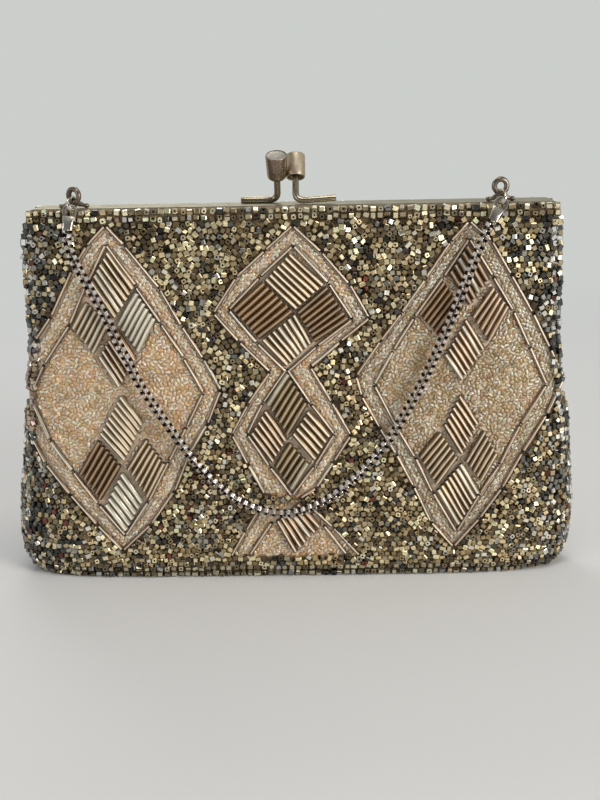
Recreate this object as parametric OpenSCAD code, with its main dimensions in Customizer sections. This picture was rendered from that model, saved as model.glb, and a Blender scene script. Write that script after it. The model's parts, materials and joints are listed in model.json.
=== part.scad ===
// Kiss lock frame purse: a beaded pouch on a two-part hinged frame, with a crossed lock and a chain handle.
// Millimetres. +X is to the right as the front is looked at, +Z is up and the front faces -Y.
// The origin is the centre of the flat base.

/* [Pouch] */
// Height of the closed frame's top above the base
bag_h = 138; // [126:1:160]
// Half the width of the pouch at its widest, below the frame
pouch_half_w = 100; // [98:1:112]
// Height up to which the pouch keeps that width
pouch_wide_h = 46; // [30:1:52]
// Radius of the pouch's bottom corners, seen from the front
corner_r = 11; // [6:1:18]
// Half the depth of the fabric at its fullest
body_half_d = 14.2; // [13.2:0.1:18]
// Half the depth of the flat base
base_half_d = 12.8; // [9:0.1:13]
// Half the depth of the fabric at the top edge of the frame
top_half_d = 8; // [7.8:0.1:10]
// Half the depth of the pouch at its side edges
side_half_d = 3; // [2:0.5:4]
// Height of the fullest point above the base
belly_h = 36; // [25:1:45]
// Thickness of the fabric with its interlining
fabric_t = 1.5; // [1:0.1:2]
// Thickness of the lining
lining_t = 0.5; // [0.3:0.1:0.8]
// Thickness of the board that stiffens the base
board_t = 1.2; // [0.8:0.1:2]
// Half the height of the band of fabric that folds at the hinges
fold_half_h = 8; // [7:0.5:10]

/* [Frame] */
// Outer width of the closed frame
frame_w = 190; // [170:1:194]
// Height of the hinge line above the base
hinge_h = 72; // [66:1:80]
// Depth of one rail, front to back
rail_d = 7.2; // [6.8:0.1:7.4]
// Thickness of the rails' sheet metal
rail_t = 0.8; // [0.6:0.1:1.2]
// Width of the flange that the fabric covers
flange_w = 5; // [4:0.5:6]
// Outer radius of the frame's top corners
frame_r = 3; // [2:0.5:6]
// Thickness of the strips that clamp the fabric in the rails
strip_t = 0.6; // [0.5:0.1:1]
// Radius of the hinge ears
ear_r = 3.2; // [2.8:0.1:3.6]
// Radius of the hinge rivets
rivet_r = 1.25; // [0.8:0.05:1.5]
// Thickness of the washer between the ears
washer_t = 0.4; // [0.3:0.1:0.8]

/* [Kiss lock] */
// Radius of the lock's bent rods
rod_r = 0.85; // [0.7:0.05:1.1]
// Radius of the left knob
left_knob_r = 3.5; // [2.8:0.05:3.5]
// Radius of the right knob
right_knob_r = 3.45; // [2.8:0.05:3.45]
// Length of the knobs
knob_l = 10.4; // [8:0.2:13]
// Height of the knobs' lower ends above the rails
knob_lift = 7.6; // [6:0.2:10]
// Lean of the left knob towards the front, in degrees
left_lean = 19; // [10:1:25]
// Lean of the right knob towards the back, in degrees
right_lean = 27; // [10:1:32]
// Length of the rods' feet along the rails
foot_l = 12.5; // [8:0.5:18]

/* [Handle] */
// Distance of the left ring lug from the frame's left end
eye_left_in = 17; // [13:0.5:35]
// Distance of the right ring lug from the frame's right end
eye_right_in = 21; // [13:0.5:35]
// Radius of the ring lugs, to the middle of their wire
eye_ring_r = 2.5; // [2.3:0.1:3]
// Radius of the ring lugs' wire
eye_wire_r = 0.7; // [0.5:0.05:0.8]
// Radius of the oval links' ends, to the middle of their wire
link_ring_r = 1.6; // [1.5:0.05:1.8]
// Radius of the oval links' wire
link_wire_r = 0.5; // [0.4:0.05:0.55]
// Thickness of the box chain
chain_d = 3.3; // [2.4:0.1:4]
// Length of the chain's end caps, from the link to the chain
cap_l = 8.4; // [7:0.2:11]

/* [Beads] */
// Radius of the bugle beads
bugle_r = 0.95; // [0.7:0.05:1.05]
// Length of a bugle bead
bugle_l = 13.2; // [10:0.2:16]
// Radius of the seed beads along the edges
seed_r = 1; // [0.7:0.05:1.1]
// Pitch of the seed beads along the edges
seed_pitch = 2.7; // [2.4:0.1:3.5]

/* [Hidden] */
$fn = 48;

// Small clearances: between layers that are sewn, between metal pieces, and round the hinge rivets
layer_gap = 0.3;
metal_gap = 0.05;
rivet_gap = 0.05;

// Levels and insets that several pieces share
frame_half_w = frame_w / 2;
fold_z0 = hinge_h - fold_half_h;
fold_z1 = hinge_h + fold_half_h - 2;
side_top_z = hinge_h - ear_r - 0.8;
leg_z = hinge_h + 10;
lining_inset = fabric_t + layer_gap;
board_z = fabric_t + 0.1;
lining_z = board_z + board_t + 0.1;
strip_y1 = rail_d - rail_t - metal_gap;
strip_y0 = strip_y1 - strip_t;
strip_z = leg_z + 5;
lining_top_y = strip_y0 - metal_gap;

// Half depth of the fabric at height z, and at distance x from the middle
function full_depth(z) = z < belly_h
    ? body_half_d - (body_half_d - base_half_d) * pow(1 - z / belly_h, 6)
    : body_half_d - (body_half_d - top_half_d) * pow((z - belly_h) / (bag_h - belly_h), 1.8);
side_levels = [0, 1.5, 4, 8, 16, belly_h, 54, fold_z0, fold_z1, 92, 106, 118, 128, 134];
side_table = [for (z = concat([for (l = side_levels) if (l < bag_h - 2) l], [bag_h])) [z, full_depth(z)]];
plan_steps = [0, 0.4, 0.65, 0.8, 0.9, 0.95, 0.98, 1];
function plan_table(inset) = [for (s = plan_steps)
    [s * (pouch_half_w - inset), side_half_d - min(inset, side_half_d - 0.6)
        + (body_half_d - side_half_d) * sqrt(1 - pow(s, 5))]];
function depth_at(x, z) = min(lookup(z, side_table), lookup(abs(x), plan_table(0)));

// Outline of the pouch seen from the front, as half widths from the base up
corner_steps = [0, 15, 30, 45, 60, 75, 90];
neck_half_w = frame_half_w + 2;
function outline_points(inset) = concat(
    [for (a = corner_steps)
        [pouch_half_w - inset - corner_r * (1 - sin(a)), inset + corner_r * (1 - cos(a))]],
    [[pouch_half_w - inset, pouch_wide_h], [neck_half_w - inset, side_top_z]]);

function mirrored(points) = concat(points, [for (i = [len(points) - 1:-1:0]) [-points[i][0], points[i][1]]]);

// A solid as wide as the frame or wider, drawn as the common part of its front, side and plan shapes
module side_shape(inset) {
    points = [for (p = side_table) [p[1] - inset, p[0]]];
    low = [[points[0][0], -1]];
    high = [[points[len(points) - 1][0], bag_h + 1]];
    rotate([90, 0, 90]) linear_extrude(2 * pouch_half_w + 20, center = true)
        polygon(mirrored(concat(low, points, high)));
}

module plan_shape(inset) {
    half = plan_table(inset);
    right = concat([for (p = half) [p[0], -p[1]]], [for (i = [len(half) - 1:-1:0]) half[i]]);
    linear_extrude(bag_h + 10) polygon(concat(right,
        [for (i = [1:len(half) - 1]) [-half[i][0], half[i][1]]],
        [for (i = [len(half) - 1:-1:1]) [-half[i][0], -half[i][1]]]));
}

module pouch_form(inset, z0, z1) {
    intersection() {
        side_shape(inset);
        plan_shape(inset);
        rotate([90, 0, 0]) linear_extrude(60, center = true) polygon(mirrored(outline_points(inset)));
        translate([-150, -50, z0]) cube([300, 100, z1 - z0]);
    }
}

module pouch_shell(z1) {
    difference() {
        pouch_form(0, 0, z1);
        pouch_form(fabric_t, fabric_t, z1 + 1);
    }
}

// Keeps what is in front of a plane, or behind it
module in_front(y) {
    intersection() {
        children();
        translate([-150, -50, -1]) cube([300, 50 + y, 200]);
    }
}

module behind() { mirror([0, 1, 0]) children(); }

module fabric_wall() {
    color("rosybrown") in_front(-side_half_d) difference() {
        pouch_shell(fold_z0);
        translate([-150, -50, -1]) cube([300, 100, fabric_t + 1]);
    }
}

module side_edge(side) {
    color("rosybrown") difference() {
        intersection() {
            pouch_form(0, fabric_t, side_top_z);
            translate([side * 80 - 40, -side_half_d, 0]) cube([80, 2 * side_half_d, bag_h]);
        }
        pouch_form(fabric_t, fabric_t, side_top_z + 1);
    }
}

module base_panel() {
    color("rosybrown") pouch_form(0, 0, fabric_t);
}

module base_stiffener() {
    half_w = pouch_half_w - corner_r - 3;
    half_d = depth_at(half_w, 0) - fabric_t - 0.2;
    r = 3;
    color("burlywood") translate([0, 0, board_z]) linear_extrude(board_t) {
        square([2 * half_w, 2 * (half_d - r)], center = true);
        square([2 * (half_w - r), 2 * half_d], center = true);
        for (x = [-1, 1], y = [-1, 1]) translate([x * (half_w - r), y * (half_d - r)]) circle(r);
    }
}

// A band of wall above the pouch, in front of the plane y = -y_back and no wider than 2 * half_w
module wall_band(inset, thick, half_w, z0, z1, y_back) {
    in_front(-y_back) difference() {
        intersection() {
            side_shape(inset);
            plan_shape(inset);
            translate([-half_w, -50, z0]) cube([2 * half_w, 100, z1 - z0]);
        }
        intersection() {
            side_shape(inset + thick);
            plan_shape(inset + thick);
        }
    }
}

module fold_band() {
    color("tan") wall_band(0, fabric_t, frame_half_w, fold_z0, fold_z1, rail_d + metal_gap);
}

module upper_panel() {
    color("rosybrown") wall_band(0, fabric_t, frame_half_w, fold_z1, bag_h, rail_d + metal_gap);
}

// Lining: a pouch inside the fabric, and an upper part that runs up under the retaining strip
lining_half_w = frame_half_w - rail_t - flange_w - 0.4;
module lining_pouch() {
    color("wheat") difference() {
        pouch_form(lining_inset, lining_z, fold_z0);
        pouch_form(lining_inset + lining_t, lining_z + lining_t, fold_z0 + 1);
    }
}

module lining_fold() {
    color("wheat") wall_band(lining_inset, lining_t, lining_half_w, fold_z0, fold_z1, strip_y0);
}

module lining_upper() {
    knee_z = bag_h - 20;
    outer = [[lining_top_y, bag_h - rail_t - 0.1], [lining_top_y, bag_h - 8],
        [lookup(knee_z, side_table) - lining_inset, knee_z]];
    inner = [for (i = [len(outer) - 1:-1:0]) outer[i] - [lining_t, 0]];
    color("wheat") {
        wall_band(lining_inset, lining_t, lining_half_w, fold_z1, knee_z, strip_y0);
        rotate([90, 0, 90]) linear_extrude(2 * lining_half_w, center = true)
            polygon([for (p = concat(outer, inner)) [-p[0], p[1]]]);
    }
}

// A slip pocket, open at the top and sewn to the back of the lining on three sides
pocket_half_w = 40;
pocket_z0 = 14;
pocket_z1 = 50;
pocket_seam = 1.5;
module slip_pocket() {
    back = min([for (p = side_table) if (p[0] >= 8 && p[0] <= fold_z0) p[1]]) - lining_inset - lining_t - 0.1;
    front = back - 1.6;
    color("wheat") difference() {
        translate([-pocket_half_w, front, pocket_z0])
            cube([2 * pocket_half_w, back - front, pocket_z1 - pocket_z0]);
        translate([-pocket_half_w + pocket_seam, front + lining_t, pocket_z0 + pocket_seam])
            cube([2 * (pocket_half_w - pocket_seam), 3, bag_h]);
    }
}

// Frame rails: an inverted U of folded sheet with a top web, side webs and an outer flange
module u_outline(half_w, top, r, bottom) {
    translate([-half_w, bottom]) square([2 * half_w, top - r - bottom]);
    translate([-half_w + r, bottom]) square([2 * (half_w - r), top - bottom]);
    for (s = [-1, 1]) translate([s * (half_w - r), top - r]) circle(r);
}

module u_band(half_w, top, r, width, y0, y1, bottom) {
    translate([0, -y0, 0]) rotate([90, 0, 0]) linear_extrude(y1 - y0) difference() {
        u_outline(half_w, top, r, bottom);
        u_outline(half_w - width, top - width, max(r - width, 0.5), bottom - 1);
    }
}

// Ear plate of a rail, in the plane across X, that carries the hinge at y = 0
ear_out_x = frame_half_w - rail_t;
ear_in_x = ear_out_x - rail_t - washer_t - 2 * metal_gap;
module ear_outline() {
    difference() {
        union() {
            translate([0, hinge_h]) circle(ear_r);
            polygon([[-rail_d, leg_z + 0.5], [-metal_gap, leg_z + 0.5], [-metal_gap, hinge_h + ear_r + 1],
                [ear_r * cos(30), hinge_h + ear_r * sin(30)], [0, hinge_h],
                [-ear_r * cos(20), hinge_h - ear_r * sin(20)], [-rail_d, hinge_h + 8]]);
        }
        translate([0, hinge_h]) circle(rivet_r + rivet_gap);
    }
}

module ear(x) {
    translate([x, 0, 0]) rotate([90, 0, 90]) linear_extrude(rail_t) ear_outline();
}

module rail_sheet() {
    u_band(frame_half_w, bag_h, frame_r, rail_t, metal_gap, rail_d, leg_z);
    u_band(frame_half_w, bag_h, frame_r, flange_w, rail_d - rail_t, rail_d, leg_z);
}

module front_rail() {
    color("silver") {
        rail_sheet();
        ear(ear_out_x);
        mirror([1, 0, 0]) ear(ear_out_x);
    }
}

// The rear rail's ears sit inside the front rail's, on a pad under the side web
module rear_ear() {
    ear(ear_in_x);
    translate([ear_in_x, -rail_d + rail_t / 2, leg_z + 0.3])
        cube([ear_out_x - ear_in_x + rail_t / 2, rail_d - rail_t, 4]);
    translate([ear_in_x, -rail_d + rail_t / 2, leg_z]) cube([rail_t, rail_d - rail_t, 1]);
}

module rear_rail() {
    color("silver") behind() {
        rail_sheet();
        rear_ear();
        mirror([1, 0, 0]) rear_ear();
    }
}

module retaining_strip() {
    color("darkgray") u_band(frame_half_w - rail_t - 0.1, bag_h - rail_t - 0.1, frame_r - rail_t,
        flange_w - 0.5, strip_y0, strip_y1, strip_z);
}

module along_x(x) { translate([x, 0, hinge_h]) rotate([0, 90, 0]) children(); }

module hinge_rivet() {
    head_r = ear_r - 1;
    head_t = 0.6;
    inner_x = ear_in_x - metal_gap - head_t;
    outer_x = frame_half_w + metal_gap;
    color("gray") {
        along_x(inner_x) cylinder(h = outer_x + head_t - inner_x, r = rivet_r);
        along_x(inner_x) cylinder(h = head_t, r = head_r);
        along_x(outer_x) cylinder(h = head_t, r = head_r);
    }
}

module hinge_washer() {
    color("dimgray") along_x(ear_out_x - metal_gap - washer_t) difference() {
        cylinder(h = washer_t, r = ear_r - 0.6);
        translate([0, 0, -1]) cylinder(h = washer_t + 2, r = rivet_r + rivet_gap);
    }
}

// Kiss lock: a rod runs along a rail, bends up and leans over the seam to its knob
left_knob_x = -6.3;
right_knob_x = 0.9;
rod_y = 3.4;
rod_z = bag_h + 0.95;
rod_sink = 5;
function knob_base(x, y, angle) = [x, y + knob_lift * tan(angle), rod_z + knob_lift];
left_base = knob_base(left_knob_x, rod_y, -left_lean);
right_base = knob_base(right_knob_x, -rod_y, right_lean);

// One arm: it lies along the rail from the bend at x to the side that outward names, 1 or -1
module latch_arm(x, y, outward, angle) {
    pad_t = 0.55;
    pad_w = 2.6;
    pad_start = 1.5;
    color("silver") {
        translate([x, y, rod_z]) rotate([-angle, 0, 0])
            cylinder(h = knob_lift / cos(angle) + rod_sink, r = rod_r);
        translate([x, y, rod_z]) sphere(rod_r);
        translate([x, y, rod_z]) rotate([0, outward * 90, 0]) cylinder(h = foot_l, r = rod_r);
        translate([x + outward * (pad_start + foot_l) / 2, y, bag_h + pad_t / 2])
            cube([foot_l - pad_start, pad_w, pad_t], center = true);
    }
}

disc_t = 0.4;
disc_inset = 0.55;
module knob_solid(r) {
    neck_r = r - 0.7;
    rotate_extrude() polygon([[0, 0], [neck_r - 0.9, 0], [neck_r - 0.25, 0.3], [neck_r, 1], [r - 0.12, 3.6],
        [r, 5], [r, knob_l - 0.3], [r - 0.3, knob_l], [0, knob_l]]);
}

// A knob is bored for its rod below and turned out for its disc above. One is hollow at its lower end.
module knob(base, angle, r, hollow) {
    color("gray") translate(base) rotate([-angle, 0, 0]) difference() {
        knob_solid(r);
        translate([0, 0, -1]) cylinder(h = rod_sink + 1.1, r = rod_r + 0.03);
        translate([0, 0, knob_l - disc_t]) cylinder(h = disc_t + 1, r = r - disc_inset);
        if (hollow) translate([0, 0, -1]) cylinder(h = rod_sink, r = r - 1.9);
    }
}

module knob_disc(base, angle, r) {
    color("silver") translate(base) rotate([-angle, 0, 0]) translate([0, 0, knob_l - disc_t])
        cylinder(h = disc_t, r = r - disc_inset - 0.02);
}

// Handle: ring lugs on the front rail, an oval link through each, end caps and the box chain
eye_left_x = frame_half_w - eye_left_in;
eye_right_x = frame_half_w - eye_right_in;
eye_y = -4.6;
eye_wire_z = bag_h + 2.6;
cap_eye_y = -12.4;
cap_eye_z = bag_h + 1.6;
cap_hole_r = 1.5;
cap_rim = 0.8;
cap_t = 0.9;
cap_tilt_left = 8;
cap_tilt_right = 28;
cap_forward = -8;

module handle_eye() {
    ring_z = eye_wire_z + eye_ring_r;
    post_x = eye_ring_r - 0.2;
    color("slategray") {
        translate([0, eye_y, ring_z]) rotate([90, 0, 0]) rotate_extrude()
            translate([eye_ring_r, 0]) circle(eye_wire_r, $fn = 24);
        for (s = [-1, 1]) translate([s * post_x, eye_y, bag_h]) cylinder(h = ring_z - bag_h - 1.2, r = 0.6);
        for (s = [-1, 1]) translate([s * post_x, eye_y, bag_h + 0.5]) rotate([0, s * 90, 0])
            cylinder(h = 3, r = 0.5);
    }
}

module half_ring(ring_r, wire_r) {
    rotate_extrude(angle = 180) translate([ring_r, 0]) circle(wire_r, $fn = 24);
}

module handle_link() {
    run = [0, cap_eye_y - eye_y, cap_eye_z - eye_wire_z];
    length = norm(run);
    color("lightgray") translate([0, eye_y, eye_wire_z]) rotate([atan2(-run[2], -run[1]), 0, 0])
        rotate([0, 90, 0]) {
            half_ring(link_ring_r, link_wire_r);
            translate([0, -length, 0]) rotate([0, 0, 180]) half_ring(link_ring_r, link_wire_r);
            for (s = [-1, 1]) translate([s * link_ring_r, 0, 0]) rotate([90, 0, 0])
                cylinder(h = length, r = link_wire_r, $fn = 24);
        }
}

module chain_end() {
    hole_z = -cap_rim / 2 - cap_hole_r;
    top_r = cap_hole_r + cap_rim;
    sleeve_l = 3.4;
    sleeve_w = chain_d + 0.6;
    color("gainsboro") {
        rotate([90, 0, 0]) linear_extrude(cap_t, center = true) difference() {
            union() {
                translate([0, hole_z]) circle(top_r);
                polygon([[-top_r, hole_z], [top_r, hole_z], [sleeve_w / 2, -cap_l + sleeve_l],
                    [-sleeve_w / 2, -cap_l + sleeve_l]]);
            }
            translate([0, hole_z]) circle(cap_hole_r);
        }
        translate([-sleeve_w / 2, -chain_d / 2 + 0.1, -cap_l]) cube([sleeve_w, chain_d - 0.2, sleeve_l]);
    }
}

module at_cap(x, tilt) { translate([x, cap_eye_y, cap_eye_z]) rotate([cap_forward, tilt, 0]) children(); }

function cap_dir(tilt) = [-sin(tilt) * cos(cap_forward), sin(cap_forward), -cos(tilt) * cos(cap_forward)];
function cap_end(x, tilt, extra) = [x, cap_eye_y, cap_eye_z] + (cap_l + extra) * cap_dir(tilt);

// The chain's route from the left cap to the right one, chosen by hand
chain_route = [[-77.5, -15, 121], [-73.5, -15.8, 113], [-68.5, -16.6, 103.5], [-64.5, -17.1, 94.5],
    [-60, -17.5, 84.5], [-55.5, -17.8, 75], [-50, -18.1, 66], [-44, -18.3, 56.5], [-37.5, -18.6, 47],
    [-30.5, -18.8, 39], [-22, -18.8, 32], [-12.5, -18.8, 27.5], [-2, -18.8, 26.5], [9, -18.8, 30.5],
    [19.5, -18.8, 38], [28.5, -18.6, 47.5], [35, -18.4, 56], [41, -18.2, 66.5], [46.5, -17.9, 77],
    [51.5, -17.5, 88], [56.5, -17, 100], [61, -16.4, 111.5], [65, -15.5, 121.5]];
chain_points = concat([cap_end(-eye_left_x, cap_tilt_left, 0), cap_end(-eye_left_x, cap_tilt_left, chain_d)],
    chain_route,
    [cap_end(eye_right_x, cap_tilt_right, chain_d), cap_end(eye_right_x, cap_tilt_right, 0)]);

function unit(v) = v / norm(v);
function tangent(p, i) = unit(p[min(i + 1, len(p) - 1)] - p[max(i - 1, 0)]);
tube_sides = 8;
module tube(p, r) {
    angles = [for (k = [0:tube_sides - 1]) 360 * k / tube_sides];
    rings = [for (i = [0:len(p) - 1])
        let (t = tangent(p, i), a = unit(cross([0, 1, 0], t)), b = cross(t, a))
        for (w = angles) p[i] + r * (cos(w) * a + sin(w) * b)];
    last = (len(p) - 1) * tube_sides;
    walls = [for (i = [0:len(p) - 2], k = [0:tube_sides - 1])
        let (a = i * tube_sides + k, b = i * tube_sides + (k + 1) % tube_sides)
        [a, a + tube_sides, b + tube_sides, b]];
    polyhedron(rings, concat(walls, [[for (k = [0:tube_sides - 1]) k]],
        [[for (k = [tube_sides - 1:-1:0]) last + k]]));
}

module handle_chain() { color("dimgray") tube(chain_points, chain_d / 2); }

// Bead work. Motif points are (x, z) on the front of a purse of the size motif_size, and each bugle
// is [start, end]. The motifs stretch with the frame and the height.
motif_size = [190, 138];
bead_seat = 0.55;
bugle_gap = 0.5;
motif_scale = [frame_w / motif_size[0], bag_h / motif_size[1]];
function stretched(points) = [for (p = points) [p[0] * motif_scale[0], p[1] * motif_scale[1]]];
function on_fabric(p, r) = [p[0], -depth_at(p[0], p[1]) - r - bead_seat, p[1]];
function mix(a, b, t) = a + (b - a) * t;
function edge_bugles(a, b) =
    let (count = max(1, round(norm(b - a) / (bugle_l + bugle_gap))), trim = 0.9 / norm(b - a))
    [for (i = [0:count - 1]) [mix(a, b, i / count + trim), mix(a, b, (i + 1) / count - trim)]];
function line_bugles(points) = [for (i = [0:len(points) - 2], e = edge_bugles(points[i], points[i + 1])) e];
// A patch has corners top, right, bottom, left. Its bugles run down to the right, or up to the right.
function patch_bugles(c, falling) =
    let (a = falling ? c[0] : c[3], b = falling ? c[3] : c[2], d = falling ? c[1] : c[0],
        e = falling ? c[2] : c[1], count = floor(min(norm(b - a), norm(e - d)) / (2 * bugle_r + 0.3)))
    [for (i = [0:count - 1])
        let (t = (i + 0.5) / count, p = mix(a, b, t), q = mix(d, e, t), s = 1 / norm(q - p))
        [mix(p, q, s), mix(p, q, 1 - s)]];

left_outer = [[-67, 132], [-54, 118], [-40.5, 96], [-27, 72.5], [-39, 50], [-46, 34], [-65.5, 11.5],
    [-84, 34.5], [-94, 56], [-94, 78], [-87, 98.5], [-79, 116.5], [-67, 132]];
right_outer = [[63, 132], [77.5, 113], [90, 87.5], [93.5, 74], [83.5, 48.5], [70, 27.5], [58, 11.5], [49, 22],
    [36.5, 48], [22.5, 74.5], [38.5, 99.5], [51, 117.5], [63, 132]];
centre_upper = [[0, 131], [20, 110], [27, 98], [5.5, 80.5], [-9, 79], [-29, 100.5], [-20.5, 113], [0, 131]];
centre_lower = [[5.5, 80.5], [20, 55.5], [1, 31.5]];
centre_lower_left = [[-9, 79], [-23.5, 56], [-12, 34]];
centre_feet = [[-25.5, 9], [-13, 29.5]];
centre_feet_right = [[3, 30], [23, 10.5]];
left_inner = [[-47.5, 96], [-33.5, 71.5], [-47, 46]];
left_inner_side = [[-81, 96], [-88.5, 83], [-88.5, 57], [-81, 43.5]];
right_inner = [[42.5, 96], [28, 74], [44, 47]];
right_inner_side = [[78, 98], [87.5, 74], [74, 44]];
bead_lines = [left_outer, right_outer, centre_upper, centre_lower, centre_lower_left, centre_feet,
    centre_feet_right, left_inner, left_inner_side, right_inner, right_inner_side];
falling_patches = [
    [[-66, 124], [-56.5, 110], [-64.5, 98], [-73, 112]],
    [[-64, 96.5], [-57, 84.5], [-64, 73.5], [-71.5, 85]],
    [[-63.5, 72.5], [-55.5, 61], [-63, 46], [-72, 57]], [[-64, 43], [-56.5, 31.5], [-64, 19], [-71.5, 30]],
    [[62, 124.5], [70, 111], [62.5, 101], [55, 113.5]], [[61.5, 98], [68.5, 86.5], [60, 74.5], [53.5, 84]],
    [[59.5, 71], [66.5, 59.5], [60, 46.5], [53.5, 58.5]], [[60, 45], [67, 33.5], [59, 19.5], [51, 34]],
    [[-1, 121.5], [11.5, 110], [0.5, 100.5], [-11, 112]],
    [[0.5, 100.5], [6.5, 89], [-3, 80], [-12.5, 90.5]], [[-11, 66], [-3, 54.5], [-9, 45], [-17.5, 56.5]],
    [[4.5, 65], [13.5, 56], [6.5, 45.5], [-1.5, 57.5]], [[0.5, 30], [9, 21], [-1.5, 10.5], [-8.5, 23]]];
rising_patches = [
    [[-56.5, 109], [-49.5, 98.5], [-56.5, 86], [-64, 96.5]],
    [[-74.5, 105.5], [-66, 97.5], [-72.5, 85.5], [-80.5, 96]],
    [[-72, 55.5], [-64, 45], [-72.5, 31.5], [-80.5, 42.5]],
    [[-55, 56], [-47, 45.5], [-55, 31.5], [-62.5, 44]], [[53.5, 111], [60.5, 101.5], [52, 90], [44, 99]],
    [[71, 108.5], [77, 101], [70, 87.5], [63, 98]], [[52.5, 57], [59, 46.5], [51.5, 35], [44.5, 47]],
    [[68, 57.5], [74, 47.5], [67.5, 36.5], [61, 45]], [[-11, 112], [0.5, 100.5], [-13, 91], [-22.5, 102]],
    [[12, 110], [20, 97.5], [7, 89], [0.5, 100.5]], [[-3, 79.5], [4.5, 67.5], [-3, 54.5], [-11, 68]],
    [[-2.5, 54], [4.5, 45], [-2, 34], [-8.5, 44.5]]];
all_bugles = concat([for (l = bead_lines, b = line_bugles(stretched(l))) b],
    [for (c = falling_patches, b = patch_bugles(stretched(c), true)) b],
    [for (c = rising_patches, b = patch_bugles(stretched(c), false)) b]);

module bugle(b) {
    p = on_fabric(b[0], bugle_r);
    v = on_fabric(b[1], bugle_r) - p;
    translate(p) rotate([0, acos(v[2] / norm(v)), atan2(v[1], v[0])])
        cylinder(h = norm(v), r = bugle_r, $fn = 16);
}

// The bugles whose higher end lies above z0, and lower end below z1, so that each is in one band
function low_end(b) = min(b[0][1], b[1][1]);
function high_end(b) = max(b[0][1], b[1][1]);
function is_upper(b) = low_end(b) >= fold_z1 + bugle_r;
function is_lower(b) = high_end(b) <= fold_z0 - bugle_r;

module bugles_upper() { color("darkkhaki") for (b = all_bugles) if (is_upper(b)) bugle(b); }
module bugles_lower() { color("darkkhaki") for (b = all_bugles) if (is_lower(b)) bugle(b); }
module bugles_fold() { color("darkkhaki") for (b = all_bugles) if (!is_upper(b) && !is_lower(b)) bugle(b); }

module bead_row(z, half_w) {
    count = floor(half_w / seed_pitch);
    for (i = [-count:count]) let (p = on_fabric([i * seed_pitch, z], seed_r))
        translate(p + [-seed_pitch / 2 + 0.2, 0.3, 0]) rotate([0, 90, 0])
            cylinder(h = seed_pitch - 0.4, r = seed_r, $fn = 16);
}

module edge_beads() {
    color("khaki") for (drop = [1.6, 4.4]) bead_row(bag_h - drop, frame_half_w - 8);
}

module base_edge_beads() {
    color("khaki") {
        bead_row(3.6, pouch_half_w - corner_r - 6);
        behind() bead_row(3.6, pouch_half_w - corner_r - 6);
    }
}

fabric_wall();  // pouch_front_panel
behind() fabric_wall();  // pouch_back_panel
side_edge(-1);  // side_edge_left
side_edge(1);  // side_edge_right
base_panel();
base_stiffener();
fold_band();  // front_fold
behind() fold_band();  // back_fold
lining_pouch();
lining_fold();  // lining_front_fold
behind() lining_fold();  // lining_back_fold
slip_pocket();
mirror([1, 0, 0]) hinge_rivet();  // hinge_rivet_left
hinge_rivet();  // hinge_rivet_right
mirror([1, 0, 0]) hinge_washer();  // hinge_washer_left
hinge_washer();  // hinge_washer_right
base_edge_beads();
bugles_lower();  // front_bugles_lower
behind() bugles_lower();  // back_bugles_lower
bugles_fold();  // front_bugles_fold
behind() bugles_fold();  // back_bugles_fold
front_rail();
retaining_strip();  // front_retaining_strip
upper_panel();  // front_upper_panel
lining_upper();  // lining_front_upper
edge_beads();  // front_edge_beads
bugles_upper();  // front_bugles_upper
translate([-eye_left_x, 0, 0]) handle_eye();  // handle_eye_left
translate([eye_right_x, 0, 0]) handle_eye();  // handle_eye_right
latch_arm(right_knob_x, -rod_y, 1, right_lean);  // latch_arm_right
knob(right_base, right_lean, right_knob_r, true);  // latch_knob_right
knob_disc(right_base, right_lean, right_knob_r);  // latch_disc_right
rear_rail();
behind() retaining_strip();  // rear_retaining_strip
behind() upper_panel();  // back_upper_panel
behind() lining_upper();  // lining_back_upper
behind() edge_beads();  // back_edge_beads
behind() bugles_upper();  // back_bugles_upper
latch_arm(left_knob_x, rod_y, -1, -left_lean);  // latch_arm_left
knob(left_base, -left_lean, left_knob_r, false);  // latch_knob_left
knob_disc(left_base, -left_lean, left_knob_r);  // latch_disc_left
translate([-eye_left_x, 0, 0]) handle_link();  // handle_link_left
translate([eye_right_x, 0, 0]) handle_link();  // handle_link_right
at_cap(-eye_left_x, cap_tilt_left) chain_end();  // chain_end_left
at_cap(eye_right_x, cap_tilt_right) chain_end();  // chain_end_right
handle_chain();
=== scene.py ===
"""Looks of a beaded kiss lock purse. Lengths in this script are millimetres until a mesh is made."""

import json
import math

import bmesh
import bpy
import numpy as np
from mathutils import Matrix, Vector


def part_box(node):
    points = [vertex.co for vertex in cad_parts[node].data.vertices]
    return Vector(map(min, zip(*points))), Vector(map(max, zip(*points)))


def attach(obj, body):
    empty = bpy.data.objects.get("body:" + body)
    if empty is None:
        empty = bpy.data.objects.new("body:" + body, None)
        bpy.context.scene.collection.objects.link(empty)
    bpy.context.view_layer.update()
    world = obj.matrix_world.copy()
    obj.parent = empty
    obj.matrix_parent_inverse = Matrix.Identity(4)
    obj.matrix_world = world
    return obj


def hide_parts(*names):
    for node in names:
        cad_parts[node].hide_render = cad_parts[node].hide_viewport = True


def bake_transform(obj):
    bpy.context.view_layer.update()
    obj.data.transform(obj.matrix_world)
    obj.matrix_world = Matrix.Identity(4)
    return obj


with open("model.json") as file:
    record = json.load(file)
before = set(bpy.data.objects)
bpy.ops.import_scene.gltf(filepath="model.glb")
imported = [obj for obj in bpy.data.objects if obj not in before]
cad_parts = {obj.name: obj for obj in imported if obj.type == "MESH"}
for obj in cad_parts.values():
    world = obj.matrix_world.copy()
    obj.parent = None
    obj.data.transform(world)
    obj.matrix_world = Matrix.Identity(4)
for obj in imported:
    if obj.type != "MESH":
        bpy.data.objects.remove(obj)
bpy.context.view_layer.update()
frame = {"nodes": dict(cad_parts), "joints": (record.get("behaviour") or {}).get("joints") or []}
MM = 0.001

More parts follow.
